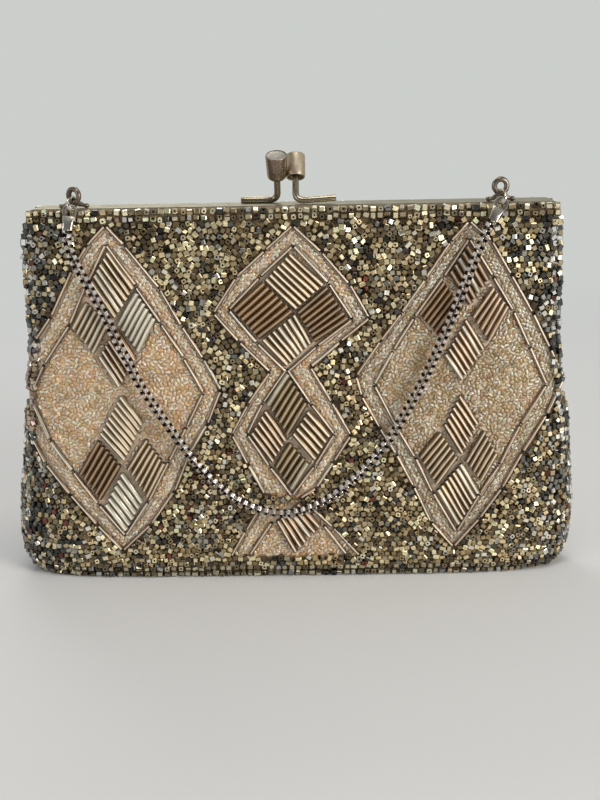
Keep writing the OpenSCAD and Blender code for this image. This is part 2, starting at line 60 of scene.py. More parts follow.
# Sizes that several pieces share, read from the frame
NODES = frame["nodes"]
TOP_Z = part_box("front_rail")[1].z / MM
RAIL_D = -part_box("front_rail")[0].y / MM
HINGE_Z = next(j["pos_m"][2] for j in frame["joints"] if j["name"] == "front_open") / MM

# The pouch's fabric: half depths, and half widths seen from the front
BELLY_Z = 36
BODY_HALF_D = 14.2
BASE_HALF_D = 12.8
TOP_HALF_D = 8
SIDE_HALF_D = 3
LEFT_EDGE = [(0, 93), (1.5, 98), (4, 101.5), (9, 104), (16, 104.6), (28, 104), (36, 103), (44, 101.8),
             (52, 100.8), (60, 100), (68, 99.2), (76, 98.4), (84, 96.6), (96, 96), (112, 96.2),
             (120, 96.6), (128, 95.8), (138, 94.6)]
RIGHT_EDGE = [(0, 89), (2, 96.5), (4, 98.8), (8, 100.6), (16, 102), (26, 102.2), (34, 101.6), (42, 100.8),
              (58, 100), (64, 98.6), (72, 98), (79, 96.4), (88, 95.4), (104, 95.3), (124, 95.4),
              (138, 94.8)]


# Meshes
def unit(v):
    return v / np.linalg.norm(v, axis=-1, keepdims=True)


def new_object(name, data):
    obj = bpy.data.objects.new(name, data)
    bpy.context.scene.collection.objects.link(obj)
    return obj


def mesh_piece(name, points, faces, materials, slots=0, smooth=True, colours=None):
    """A mesh object from points in millimetres. slots and smooth can differ by face, and colours by face or
    by corner."""
    count, size = faces.shape
    mesh = bpy.data.meshes.new(name)
    mesh.vertices.add(len(points))
    mesh.vertices.foreach_set("co", (points * MM).ravel())
    mesh.loops.add(faces.size)
    mesh.loops.foreach_set("vertex_index", faces.ravel().astype(np.int32))
    mesh.polygons.add(count)
    mesh.polygons.foreach_set("loop_start", np.arange(0, faces.size, size, dtype=np.int32))
    mesh.polygons.foreach_set("loop_total", np.full(count, size, np.int32))
    for look in materials:
        mesh.materials.append(look)
    mesh.polygons.foreach_set("material_index", np.full(count, slots, np.int32))
    mesh.polygons.foreach_set("use_smooth", np.full(count, smooth, bool))
    mesh.update(calc_edges=True)
    if colours is not None:
        # Bead colours hold each bead's tint together with its painted highlights and painted shade.
        layer = mesh.attributes.new("bead_colour_and_painted_light", "FLOAT_COLOR", "CORNER")
        rgba = np.ones((count, size, 4), np.float32)
        rgba[:, :, :3] = colours if colours.ndim == 3 else colours[:, None, :]
        layer.data.foreach_set("color", rgba.ravel())
    return new_object(name, mesh)


def ring_faces(rings, sides, closed=False):
    """Quads between rings of points with as many sides each. If closed, the last ring joins the first."""
    this = np.arange(rings if closed else rings - 1)[:, None] * sides
    following = (this + sides) % (rings * sides)
    k = np.arange(sides)
    after = (k + 1) % sides
    return np.stack([this + k, this + after, following + after, following + k], -1).reshape(-1, 4)


def turned(profile, sides, start=0.0, closed=False):
    """Points and faces of a turned shape round Z, from the (radius, height) points of its profile."""
    angles = start + np.arange(sides) * 2 * np.pi / sides
    points = [np.stack([r * np.cos(angles), r * np.sin(angles), np.full(sides, z)], 1) for r, z in profile]
    return np.concatenate(points), ring_faces(len(profile), sides, closed)


def tube(path, radii, sides):
    """Points and faces of a round tube along a path, with closed ends."""
    tangent = unit(np.gradient(path, axis=0))
    across = np.cross(tangent[0], [0, 0, 1.0])
    angles = np.linspace(0, 2 * np.pi, sides, endpoint=False)[:, None]
    points = []
    for p, t, r in zip(path, tangent, radii):
        across = unit(across - t * (across @ t))
        points.append(p + r * (np.cos(angles) * across + np.sin(angles) * np.cross(t, across)))
    middle = len(path) * sides
    last = middle - sides
    faces = ring_faces(len(path), sides).tolist()
    pairs = [(k, (k + 1) % sides) for k in range(sides)]
    faces += [[middle, b, a] for a, b in pairs] + [[middle + 1, last + a, last + b] for a, b in pairs]
    return np.vstack([*points, path[0], path[-1]]), faces


# Materials
def set_inputs(node, **values):
    for key, value in values.items():
        node.inputs[key.replace("_", " ")].default_value = value


def add(tree, kind, wires=None, operation=None, **values):
    """A new shader node. wires lead from other nodes' outputs to its inputs, and values set other inputs."""
    node = tree.nodes.new("ShaderNode" + kind)
    if operation:
        node.operation = operation
    set_inputs(node, **values)
    for socket, output in (wires or {}).items():
        tree.links.new(output, node.inputs[socket])
    return node


def maths(tree, operation, first, second):
    return add(tree, "Math", {0: first, 1: second}, operation).outputs["Value"]


def material(name):
    made = bpy.data.materials.new(name)
    made.use_nodes = True
    return made, made.node_tree, made.node_tree.nodes["Principled BSDF"]


def noise(tree, scale, detail=4):
    """Noise in object coordinates, and the coordinates."""
    place = add(tree, "TexCoord").outputs["Object"]
    return add(tree, "TexNoise", {"Vector": place}, Scale=scale, Detail=detail).outputs["Fac"], place


def two_tone(tree, scale, stops):
    """A colour that wanders between two (noise level, colour) stops, and the coordinates."""
    level, place = noise(tree, scale)
    ramp = add(tree, "ValToRGB", {"Fac": level})
    for element, (at, colour) in zip(ramp.color_ramp.elements, stops):
        element.position = at
        element.color = (*colour, 1)
    return ramp.outputs["Color"], place


def bump(tree, shader, height, strength, distance):
    node = add(tree, "Bump", {"Height": height}, Strength=strength, Distance=distance)
    tree.links.new(node.outputs["Normal"], shader.inputs["Normal"])


def bead_material(name, metallic, roughness, coat, film=0.0):
    """Glass lined with silver: each bead's colour is in its mesh, its tint with painted highlights and
    painted shade, a little clouded.
    """
    made, tree, shader = material(name)
    tint = add(tree, "Attribute")
    tint.attribute_name = "bead_colour_and_painted_light"
    cloud, _ = noise(tree, 90, 3)
    level = add(tree, "MapRange", {"Value": cloud}, From_Min=0.3, From_Max=0.7, To_Min=0.84, To_Max=1.12)
    mix = add(tree, "VectorMath", {0: tint.outputs["Color"], "Scale": level.outputs["Result"]}, "SCALE")
    tree.links.new(mix.outputs["Vector"], shader.inputs["Base Color"])
    set_inputs(shader, Metallic=metallic, Roughness=roughness, Coat_Weight=coat, Coat_Roughness=0.04)
    if film:
        set_inputs(shader, Thin_Film_Thickness=film, Thin_Film_IOR=1.7)
    return made


def metal_material(name, clean, dull, roughness, scale=160, edge=1.0):
    """Plated metal with a little tarnish in its colour and fine scratches in its surface."""
    made, tree, shader = material(name)
    colour, _ = two_tone(tree, scale, [(0.36, dull), (0.6, clean)])
    scratch, _ = noise(tree, 1500)
    rough = add(tree, "MapRange", {"Value": scratch}, To_Min=roughness * 0.7, To_Max=roughness * 1.4)
    tree.links.new(rough.outputs["Result"], shader.inputs["Roughness"])
    tree.links.new(colour, shader.inputs["Base Color"])
    bump(tree, shader, scratch, 0.12, 0.00005)
    set_inputs(shader, Metallic=1.0, Specular_Tint=(edge, edge * 0.97, edge * 0.86, 1))
    return made


# Length of a Wave Texture's waves at a scale of 1
WAVE_LENGTH = 0.314


def cloth_material(name, light, dark, thread_mm=0.32, sheen=0.3, roughness=0.6):
    """Woven cloth: two crossed waves for the threads, and slow changes of shade."""
    made, tree, shader = material(name)
    colour, place = two_tone(tree, 60, [(0.35, dark), (0.65, light)])
    waves = []
    for direction in ("X", "Z"):
        wave = add(tree, "TexWave", {"Vector": place}, Scale=WAVE_LENGTH / (thread_mm * MM) / 2,
                   Distortion=0.6, Detail=1)
        wave.bands_direction = direction
        waves.append(wave.outputs["Fac"])
    tree.links.new(colour, shader.inputs["Base Color"])
    bump(tree, shader, maths(tree, "MAXIMUM", *waves), 0.35, 0.0001)
    set_inputs(shader, Roughness=roughness, Sheen_Weight=sheen, Sheen_Roughness=0.4)
    return made


CUT_GLASS = bead_material("cut_silver_lined_glass", 0.75, 0.27, 0.7)
SEED_GLASS = bead_material("iridescent_seed_glass", 0.06, 0.25, 0.7, 420.0)
BUGLE_GLASS = bead_material("bugle_glass", 0.55, 0.3, 0.15)
# The material of the bugles' top faces, which carry a painted highlight.
HIGHLIGHT_LINE_GLASS = bead_material("bugle_painted_highlight_line", 0.0, 0.35, 0.4)
THREAD = cloth_material("dark_thread", (0.02, 0.018, 0.012), (0.01, 0.009, 0.006), 0.2, 0.0, 0.8)
# The ground is one cloth in two colours: dark brown is painted shade in the gaps between the cut beads, peach
# is painted light through the clear seeds.
GROUND_CLOTH_PAINTED_SHADE = cloth_material("ground_cloth_painted_shade", (0.30, 0.20, 0.10), (0.17, 0.11, 0.05))
MOTIF_CLOTH_PAINTED_LIGHT = cloth_material("motif_cloth_painted_light", (0.74, 0.58, 0.41), (0.64, 0.49, 0.34))
LINING_CLOTH = cloth_material("lining_satin", (0.72, 0.62, 0.46), (0.60, 0.50, 0.36), 0.22, 0.5, 0.38)
FRAME_METAL = metal_material("frame_nickel", (0.42, 0.39, 0.31), (0.33, 0.30, 0.23), 0.36, edge=0.72)
LOCK_METAL = metal_material("lock_nickel", (0.40, 0.35, 0.26), (0.28, 0.23, 0.16), 0.27, 90)
# The left knob's nickel is painted browner and darker as a reflection of warm brown surroundings.
KNOB_METAL = metal_material("knob_nickel_painted_reflection", (0.31, 0.25, 0.20), (0.22, 0.16, 0.12), 0.26, 60)
DISC_METAL = metal_material("disc_nickel", (0.40, 0.375, 0.34), (0.30, 0.28, 0.24), 0.38, 300)
BRIGHT_METAL = metal_material("handle_nickel", (0.80, 0.76, 0.70), (0.58, 0.52, 0.44), 0.2, 60)
DARK_METAL = metal_material("lug_nickel", (0.24, 0.20, 0.165), (0.13, 0.105, 0.085), 0.3)
CHAIN_METAL = metal_material("chain_metal", (0.92, 0.87, 0.85), (0.62, 0.56, 0.54), 0.25, 420)
# Dark for the links' inner faces: tarnish together with painted shade.
CHAIN_DARK = metal_material("chain_tarnish_and_painted_shade", (0.045, 0.035, 0.035), (0.02, 0.015, 0.015), 0.5, 420)
KNOB_BRASS = metal_material("knob_warm_nickel", (0.50, 0.42, 0.31), (0.38, 0.31, 0.22), 0.42, 260)
BOARD_CARD = cloth_material("base_card", (0.45, 0.36, 0.25), (0.36, 0.28, 0.19), 0.6, 0.0, 0.8)


# The front fabric's surface. The back is the same, mirrored.
def curve(table, z):
    xs, ys = zip(*table)
    return np.interp(z, xs, ys)


def full_depth(z):
    z = np.asarray(z, float)
    low = BODY_HALF_D - (BODY_HALF_D - BASE_HALF_D) * np.clip(1 - z / BELLY_Z, 0, 1) ** 6
    rise = np.clip((z - BELLY_Z) / (TOP_Z - BELLY_Z), 0, 1)
    return np.where(z < BELLY_Z, low, BODY_HALF_D - (BODY_HALF_D - TOP_HALF_D) * rise ** 1.8)


def edge_depth(z):
    """Half depth at the side edges: the pouch is thin there, and the frame is as deep as its rails."""
    return np.interp(z, [HINGE_Z - 10, HINGE_Z + 8], [SIDE_HALF_D, RAIL_D + 0.4])


def half_width(x, z):
    return np.where(np.asarray(x) < 0, curve(LEFT_EDGE, z), curve(RIGHT_EDGE, z))


def sag(x, z):
    """Slow hollows and swells of the soft body, in millimetres."""
    x, z = np.asarray(x, float), np.asarray(z, float)
    fade = np.clip((TOP_Z - z) / 30, 0, 1) * np.clip(z / 12, 0, 1)
    wave = np.sin(x / 17 + z / 29 + 0.6) + 0.8 * np.sin(x / 31 - z / 15) + 0.5 * np.sin(x / 9.5 + z / 11)
    return 0.22 * fade * wave


def depth(x, z):
    share = np.clip(np.abs(x) / half_width(x, z), 0, 1)
    edge, full = edge_depth(z), full_depth(z)
    return edge + (full - edge) * np.sqrt(1 - share ** 5.5) + sag(x, z) * (1 - share ** 4)


def normal(x, z):
    """Outward normal of the front at (x, z)."""
    step = 0.4
    dx = (depth(x + step, z) - depth(x - step, z)) / (2 * step)
    dz = (depth(x, z + step) - depth(x, z - step)) / (2 * step)
    n = np.stack([-dx, -np.ones_like(dx), -dz], -1)
    return unit(n)


# The pattern on the front, as (x, z) points: each motif's outer and inner outline
LEFT_MOTIF = [(-66.5, 132), (-60, 125), (-48, 109.5), (-40.5, 96), (-33, 84), (-27, 72.5), (-32.5, 60),
              (-39, 49.5), (-45.5, 34.5), (-55, 21.5), (-66, 11), (-75, 21.5), (-84.5, 33), (-93, 44.5),
              (-99, 56), (-104, 64), (-104, 78), (-96.5, 87), (-87.5, 100), (-79, 116.5), (-73.5, 125)]
RIGHT_MOTIF = [(62.5, 131.5), (70.5, 124.5), (77.5, 112.5), (85.5, 98.5), (92, 85.5), (97.5, 73.5),
               (91.5, 60.5), (83, 47), (75.5, 33.5), (67.5, 22), (58, 11), (49.5, 21), (43, 35),
               (36.5, 47.5), (30.5, 57.5), (24, 69.5), (22, 77), (31, 89.5), (38.5, 99.5), (47, 111.5),
               (56, 124.5)]
UPPER_MOTIF = [(0, 131), (10, 121.5), (20, 110), (27, 98), (16.5, 89.5), (5.5, 80.5), (-9, 79), (-20, 90),
               (-29, 100.5), (-20.5, 113), (-10, 122.5)]
LOWER_MOTIF = [(5.5, 80.5), (13, 67.5), (20, 55), (13.5, 45), (7, 35), (1, 31), (-12, 33), (-18, 44.5),
               (-23.5, 56), (-17.5, 67), (-9, 79)]
FOOT_MOTIF = [(-25.5, 8), (-19.5, 18.5), (-13, 29), (3, 29.5), (13, 19.5), (23, 8)]
MOTIFS = [LEFT_MOTIF, RIGHT_MOTIF, UPPER_MOTIF, LOWER_MOTIF, FOOT_MOTIF]
INNER_LINES = [[(-66.5, 125.5), (-56.5, 110.5), (-48, 97), (-40, 84.5), (-33.5, 71.5), (-40, 59),
                (-47, 46), (-55.5, 30.5), (-64.5, 17), (-74, 29.5), (-83, 42), (-91, 53.5), (-97.5, 69.5),
                (-91, 82.5), (-81, 97), (-74, 111.5), (-66.5, 125.5)],
               [(62.5, 125.5), (71, 112), (78.5, 99.5), (84.5, 86.5), (91.3, 72), (82, 57.5),
                (74.5, 42.5), (67.5, 31.5), (59, 17), (50, 32.5), (43.5, 46), (37, 57), (28.5, 73.5),
                (35.5, 86), (43, 98), (53.5, 112), (62.5, 125.5)],
               [(0, 124), (12.5, 110.5), (21, 97.5), (8, 88), (-3, 78.5), (-13.5, 89.5), (-23.5, 101.5),
                (-12, 113), (0, 124)],
               [(-3, 80), (5.5, 67), (14, 55.5), (6.5, 43.5), (-2, 32), (-10, 43.5), (-18, 56),
                (-12, 67.5), (-3, 80)],
               [(-18.5, 8.5), (-9.5, 22)],
               [(9.5, 20.5), (18, 8.5)]]
# Patches of side by side bugles, with corners top, right, bottom, left and a tint. In the first list they
# run down to the right, in the second up to the right.
FALLING = [((-66, 124), (-56.5, 110), (-64.5, 98), (-73, 112), "gold"),
           ((-64, 96.5), (-57, 84.5), (-64, 73), (-71.5, 85), "copper"),
           ((-63.5, 72), (-55.5, 60.5), (-63.5, 45.5), (-72.5, 56.5), "pale"),
           ((-64.5, 43), (-57, 31), (-64.5, 18), (-72, 29), "silver"),
           ((62, 124.5), (70, 111), (62.5, 101), (55, 113.5), "brown"),
           ((61.5, 98), (68.5, 86.5), (60, 74), (53.5, 84), "copper"),
           ((59.5, 70.5), (67, 59), (60.5, 46), (53.5, 58), "copper"),
           ((60.5, 44.5), (67.5, 32.5), (59.5, 18.5), (51, 33.5), "gold"),
           ((-1, 122), (11.5, 110), (0.5, 100.5), (-11, 112), "gold"),
           ((0.5, 100.5), (6.5, 89), (-3, 80.5), (-12.5, 90.5), "gold"),
           ((-11, 66), (-3, 54), (-9, 44.5), (-17, 56), "copper"),
           ((4.5, 65.5), (13, 55.5), (6.5, 45), (-2, 55.5), "gold"),
           ((0.5, 30), (9, 20.5), (-1.5, 9), (-8.5, 22.5), "copper")]
RISING = [((-56.5, 109.5), (-49.5, 98.5), (-56.5, 86), (-64, 97), "silver"),
          ((-74.5, 106), (-66, 97.5), (-72.5, 85.5), (-80.5, 96), "pale"),
          ((-72.5, 55), (-64.5, 44.5), (-73, 30.5), (-81, 41.5), "brown"),
          ((-55, 55.5), (-48, 45), (-55.5, 31), (-63, 43.5), "gold"),
          ((53.5, 111.5), (60.5, 101.5), (52, 90), (44, 99), "brown"),
          ((71, 109), (77, 101), (70, 87.5), (63, 98), "copper"),
          ((52.5, 56.5), (59.5, 46), (51.5, 34.5), (44.5, 46.5), "gold"),
          ((68.5, 57), (74, 46.5), (68, 35.5), (61.5, 44.5), "gold"),
          ((-11, 112), (0.5, 100.5), (-13, 90.5), (-22.5, 101.5), "brown"),
          ((12, 110), (20, 97.5), (7, 89), (0.5, 100.5), "brown"),
          ((-3, 79.5), (4.5, 67), (-3, 54.5), (-11, 67.5), "olive"),
          ((-2.5, 53.5), (5, 44.5), (-2, 33.5), (-8.5, 44), "olive")]


def inside(polygon, x, z):
    """True for each point inside the polygon."""
    x, z = np.asarray(x, float), np.asarray(z, float)
    result = np.zeros(x.shape, bool)
    for (x0, z0), (x1, z1) in zip(polygon, polygon[1:] + polygon[:1]):
        crosses = (z0 > z) != (z1 > z)
        with np.errstate(divide="ignore", invalid="ignore"):
            at = x0 + (z - z0) * (x1 - x0) / (z1 - z0)
        result ^= crosses & (x < at)
    return result


def in_motif(x, z):
    return np.any([inside(m, x, z) for m in MOTIFS], axis=0)


# Beads
def bead_template(profile, sides, start):
    """A round bead with a hole along Y, from the (radius, place) points round its wall."""
    points, faces = turned(profile, sides, start, True)
    return points[:, [0, 2, 1]], faces


def square_template(half, chamfer, length, hole):
    """A square-cut bead along Y, and the kind of each face: 0 to 3 sides, 4 to 7 their edges, 8 rims, 9 ends
    and 10 the hole."""
    a, b, end = half, half - chamfer, length / 2
    outline = np.array([(b, a), (-b, a), (-a, b), (-a, -b), (-b, -a), (b, -a), (a, -b), (a, b)])
    rings = [(hole / half, -end), (0.8, -end), (1, 0.24 - end), (1, end - 0.24), (0.8, end),
             (hole / half, end)]
    points = np.concatenate([np.stack([outline[:, 0] * s, np.full(8, y), outline[:, 1] * s], 1)
                             for s, y in rings])
    k = np.arange(8)
    kinds = [np.full(8, 9), np.full(8, 8), k // 2 + 4 * (k % 2), np.full(8, 8), np.full(8, 9), np.full(8, 10)]
    return points, ring_faces(6, 8, True), np.concatenate(kinds)


def place_beads(template, faces, centres, axes, normals, scales):
    """Copies a bead template to each place: its Y axis along axes and its Z axis along normals."""
    side = unit(np.cross(axes, normals))
    up = np.cross(side, axes)
    basis = np.stack([side, axes, up], 2)
    local = template[None] * scales[:, None, :]
    points = np.einsum("nij,nkj->nki", basis, local) + centres[:, None, :]
    all_faces = faces[None] + (np.arange(len(centres)) * len(template))[:, None, None]
    return points.reshape(-1, 3), all_faces.reshape(-1, faces.shape[1])


def swirl(x, z, wavelength, seed):
    """An angle field that turns smoothly, from a few plane waves."""
    rng = np.random.default_rng(seed)
    total = np.zeros_like(x)
    for _ in range(9):
        direction = rng.uniform(0, 2 * np.pi)
        size = wavelength * rng.uniform(0.7, 1.5)
        total += np.cos(2 * np.pi * (x * np.cos(direction) + z * np.sin(direction)) / size
                        + rng.uniform(0, 2 * np.pi))
    return np.pi * total / 3


# The grid that finds each bead's neighbours: its corner, its cells, and how far beads can touch
GRID_LOW = np.array([-108.0, -4.0])
GRID_CELL = 2.6
GRID_SIZE = (84, 60)
GRID_SLOTS = 14
TOUCH_REACH = 3.5


def relax(points, angles, halves, fixed, rounds):
    """Pushes beads, as oval footprints, off each other and off fixed points. fixed is (x, z, radius)."""
    wide, high = GRID_SIZE
    mobile = len(points)
    place = np.vstack([points, fixed[:, :2]])
    reach = np.vstack([halves, np.stack([fixed[:, 2]] * 2, 1)])
    turn = np.concatenate([angles, np.zeros(len(fixed))])
    own = np.arange(mobile)[:, None]
    for _ in range(rounds):
        cells = np.clip(((place - GRID_LOW) / GRID_CELL).astype(int), 1, [wide - 2, high - 2])
        key = cells[:, 1] * wide + cells[:, 0]
        order = np.argsort(key, kind="stable")
        rank = np.arange(len(key)) - np.searchsorted(key[order], key[order])
        grid = np.full((wide * high, GRID_SLOTS), -1)
        kept = rank < GRID_SLOTS
        grid[key[order][kept], rank[kept]] = order[kept]
        near = np.concatenate([grid[key[:mobile] + dy * wide + dx]
                               for dy in (-1, 0, 1) for dx in (-1, 0, 1)], 1)
        gap = place[near] - place[:mobile, None]
        apart = np.linalg.norm(gap, axis=2)
        valid = (near >= 0) & (near != own) & (apart < TOUCH_REACH)
        way = gap / np.maximum(apart, 1e-6)[..., None]
        heading = np.arctan2(way[..., 1], way[..., 0])

        def radius(which):
            relative = heading - turn[which]
            a, b = reach[which, 0], reach[which, 1]
            return a * b / np.sqrt((b * np.cos(relative)) ** 2 + (a * np.sin(relative)) ** 2)

        over = np.where(valid, np.maximum(radius(own) + radius(near) - apart, 0), 0)
        share = np.where(near < mobile, 0.5, 1.0)
        push = -(over * share)[..., None] * way
        place[:mobile] += 0.6 * push.sum(1) / np.maximum((over > 0).sum(1), 1)[:, None] ** 0.5
    return place[:mobile]


def flip_to_back(points):
    return points * np.array([1, -1, 1])


SIDES = ("front", "back")
FRAMES = ("front_frame", "rear_frame")


def finish_beads(name, mesh, glasses, back, body=None, glass_of=0):
    """Makes the piece, mirrored to the back if asked. It rides on a body, or else its place is baked into its
    points.
    """
    points, faces, colours, smooth = mesh
    if back:
        points, faces = flip_to_back(points), faces[:, ::-1]
    obj = mesh_piece(name, points, faces, glasses, glass_of, smooth, colours)
    hold(obj, body)
    return obj


def hold(obj, body=None):
    if body:
        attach(obj, body)
    else:
        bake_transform(obj)


def pick_tints(count, palette, rng, spread=0.12):
    """A colour for each bead from (weight, rgb) entries, each a little different."""
    weights = np.array([w for w, _ in palette], float)
    base = np.array([c for _, c in palette])[rng.choice(len(palette), count, p=weights / weights.sum())]
    return np.clip(base * (1 + rng.normal(0, spread, (count, 1))), 0.005, 1)


GOLD = (0.90, 0.79, 0.53)
CHAMPAGNE = (0.68, 0.55, 0.34)
SILVER = (0.80, 0.78, 0.72)
SMOKE = (0.20, 0.20, 0.185)
OLIVE = (0.36, 0.275, 0.145)
BROWN = (0.17, 0.12, 0.065)
BLACK = (0.05, 0.047, 0.04)
RUST = (0.20, 0.055, 0.035)
BACKGROUND = [(28, GOLD), (21, CHAMPAGNE), (7, SILVER), (17, OLIVE), (20, BROWN), (3, SMOKE), (3, BLACK),
              (1, RUST)]
# Near the sides the mix is greyer and darker: painted reflection of cool daylight and painted shade.
EDGE_MIX = [(9, GOLD), (8, CHAMPAGNE), (22, SILVER), (14, OLIVE), (28, SMOKE), (18, BLACK), (1, RUST)]
ROW_MIX = [(46, GOLD), (22, CHAMPAGNE), (8, SILVER), (14, OLIVE), (6, BROWN), (3, BLACK)]
SEEDS = [(28, (0.58, 0.38, 0.22)), (22, (0.63, 0.44, 0.26)), (18, (0.59, 0.38, 0.25)),
         (12, (0.70, 0.54, 0.37)), (10, (0.55, 0.42, 0.23)), (10, (0.61, 0.46, 0.36))]
BAND_SEEDS = [(30, (0.50, 0.37, 0.25)), (30, (0.55, 0.42, 0.30)), (20, (0.52, 0.37, 0.30)),
              (20, (0.62, 0.52, 0.41))]
# Tints of the painted highlights along the tops of the seeds.
GLEAM = [(56, (1.0, 0.94, 0.82)), (26, (0.98, 0.84, 0.80)), (18, (0.90, 0.94, 0.80))]

CUT_HALF = 0.98
CUT_LENGTH = 2.1
CUT_POINTS, CUT_FACES, CUT_KINDS = square_template(CUT_HALF, 0.32, CUT_LENGTH, 0.34)
SEED_SIDES = 10
SEED_RINGS = [(0.24, -0.92), (0.48, -1.04), (0.7, -0.66), (0.7, 0.66), (0.48, 1.04), (0.24, 0.92)]
SEED_POINTS, SEED_FACES = bead_template(SEED_RINGS, SEED_SIDES, np.pi / 2)
# Painted light on the seeds: the shade table lightens or darkens each point by the way it faces and darkens
# the hole ends, as painted shade; the gleam table marks where the painted highlight lies along the top.
SEED_FACING = np.tile(np.sin(np.pi / 2 + np.arange(SEED_SIDES) * 2 * np.pi / SEED_SIDES), 6)
SEED_PAINTED_SHADE = np.interp(SEED_FACING, [-1, 0, 1], [0.9, 1.08, 1])
SEED_PAINTED_SHADE *= np.repeat([0.6, 1, 1, 1, 1, 0.6], SEED_SIDES)
SEED_GLEAM = np.clip((SEED_FACING - 0.75) / 0.25, 0, 1) * np.repeat([0, 0.5, 1, 1, 0.5, 0], SEED_SIDES)
BUGLE_SIDES = 12


def cut_bead_mesh(centres, axes, normals, tints, scales, rng):
    """Each bead's four sides get a random shade, the brightest above its tint as painted glints; its edges,
    rims and ends are painted darker as shade or brighter as glints, and its hole is painted nearly black as
    shade.
    """
    points, faces = place_beads(CUT_POINTS, CUT_FACES, centres, axes, normals, scales)
    count = len(centres)
    # Painted light: sides lit or shaded at random, edges mostly painted dark as the shade between glass faces
    # and sometimes bright as glints, the hole painted nearly black.
    painted_light_and_shade = np.concatenate([rng.choice([0.45, 0.8, 1.0, 1.15], (count, 4), p=[0.18, 0.22, 0.35, 0.25]),
                             rng.choice([0.16, 0.35, 1.2], (count, 4), p=[0.45, 0.33, 0.22]),
                             rng.choice([0.2, 0.4, 1.1], (count, 1), p=[0.45, 0.35, 0.2]),
                             rng.choice([0.35, 1.1], (count, 1)), np.full((count, 1), 0.07)], 1)
    colours = tints[:, None, :] * painted_light_and_shade[:, CUT_KINDS][:, :, None]
    return points, faces, np.clip(colours.reshape(-1, 3), 0, 1), np.zeros(len(faces), bool)


def seed_bead_mesh(centres, axes, normals, tints, scales, rng):
    """Clear beads of nearly one tint, each point painted a little lighter or darker by the way it faces and
    darker at the hole ends as painted shade; a painted highlight along the top of about half of them.
    """
    points, faces = place_beads(SEED_POINTS, SEED_FACES, centres, axes, normals, scales)
    count = len(centres)
    gleam = pick_tints(count, GLEAM, rng, 0.04) * rng.uniform(0.8, 1, (count, 1))
    gleam *= tints.max(1)[:, None] ** 0.25
    strength = rng.choice([0, 0.4, 1.0], count, p=[0.4, 0.3, 0.3])
    share = SEED_GLEAM[None, :, None] * strength[:, None, None]
    colours = tints[:, None, :] * SEED_PAINTED_SHADE[None, :, None]
    colours = colours * (1 - share) + gleam[:, None, :] * share
    return points, faces, colours.reshape(-1, 3)[faces], np.ones(len(faces), bool)


def spread_scales(count, rng, across=0.06, along=0.12):
    """Small differences in size: width, length and height of each bead."""
    return 1 + np.stack([rng.normal(0, across, count), rng.normal(0, along, count),
                         rng.normal(0, across, count)], 1).clip(-0.25, 0.25)


def laid(surface, n, along, lift, tilt, rng):
    """Centres, axes and tops of beads lifted off a surface, each tilted and rolled a little."""
    count = len(surface)
    axis = unit(along - n * (along * n).sum(1)[:, None])
    axis = unit(axis + n * rng.normal(0, tilt, count)[:, None])
    top = unit(n + np.cross(axis, n) * rng.normal(0, tilt * 2, count)[:, None])
    return surface + n * lift[:, None], axis, top


def front_point(x, z):
    return np.stack([x, -depth(x, z), z], -1)


def on_front(x, z, angle, lift, tilt, rng):
    n = normal(x, z)
    along = np.stack([np.cos(angle), np.zeros_like(x), np.sin(angle)], 1)
    along[:, 1] = -(along * n).sum(1) / n[:, 1]
    return laid(front_point(x, z), n, unit(along), lift, tilt, rng)


# Bugles in lines: their radius and the length each takes. Then the pitch of those side by side, and the
# share of the half width past which there are none
LINE_R = 0.68
BUGLE_STEP = 13.6
PATCH_PITCH = 2.12
EDGE_SHARE = 0.985


def line_bugles(points, tint):
    """Bugles end to end along a line of points, as (start, end, radius, tint)."""
    made = []
    for a, b in zip(points, points[1:]):
        a, b = np.array(a, float), np.array(b, float)
        length = np.linalg.norm(b - a)
        count = max(1, round(length / BUGLE_STEP))
        trim = 0.55 * (b - a) / length
        for i in range(count):
            first, last = a + (b - a) * i / count, a + (b - a) * (i + 1) / count
            made.append((first + trim, last - trim, LINE_R, tint))
    return made


def patch_bugles(patch, falling):
    """Bugles that fill a patch side by side."""
    top, right, low, left = (np.array(p, float) for p in patch[:4])
    start, last, other, end = (top, left, right, low) if falling else (left, low, top, right)
    along = (other + end - start - last) / 2
    along /= np.linalg.norm(along)
    across = (last - start + end - other) / 2
    width = abs(across[0] * along[1] - across[1] * along[0])
    count = max(3, round(width / PATCH_PITCH))
    made = []
    for i in range(count):
        t = (i + 0.5) / count
        made.append((start + (last - start) * t + 0.4 * along, other + (end - other) * t - 0.4 * along,
                     min(width / count / 2, 1.12), patch[4]))
    return made


def all_bugles():
    made = []
    for motif in MOTIFS[:4]:
        made += line_bugles(motif + motif[:1], "line")
    made = [b for b in made if abs(b[1][1] - b[0][1]) > 0.25 * abs(b[1][0] - b[0][0])]
    made += line_bugles(FOOT_MOTIF[:3], "line") + line_bugles(FOOT_MOTIF[3:], "line")
    for line in INNER_LINES:
        made += line_bugles(line, "line")
    for patch in FALLING:
        made += patch_bugles(patch, True)
    for patch in RISING:
        made += patch_bugles(patch, False)
    middles = [(b[0] + b[1]) / 2 for b in made]
    return [b for b, (x, z) in zip(made, middles) if abs(x) < EDGE_SHARE * half_width(x, z)]


BUGLES = all_bugles()
ROW_PITCH = 2.55
FRONT_ROWS = (TOP_Z - 1.5, TOP_Z - 3.95, 3.9, 1.6)


def edge_row(z):
    """(x, z) places of a straight row of beads at height z."""
    inset = 4.5 if z < 10 else 1.6
    left, right = float(half_width(-1.0, z)) - inset, float(half_width(1.0, z)) - inset
    return np.array([(x, z) for x in np.linspace(-left, right, int((left + right) / ROW_PITCH))])


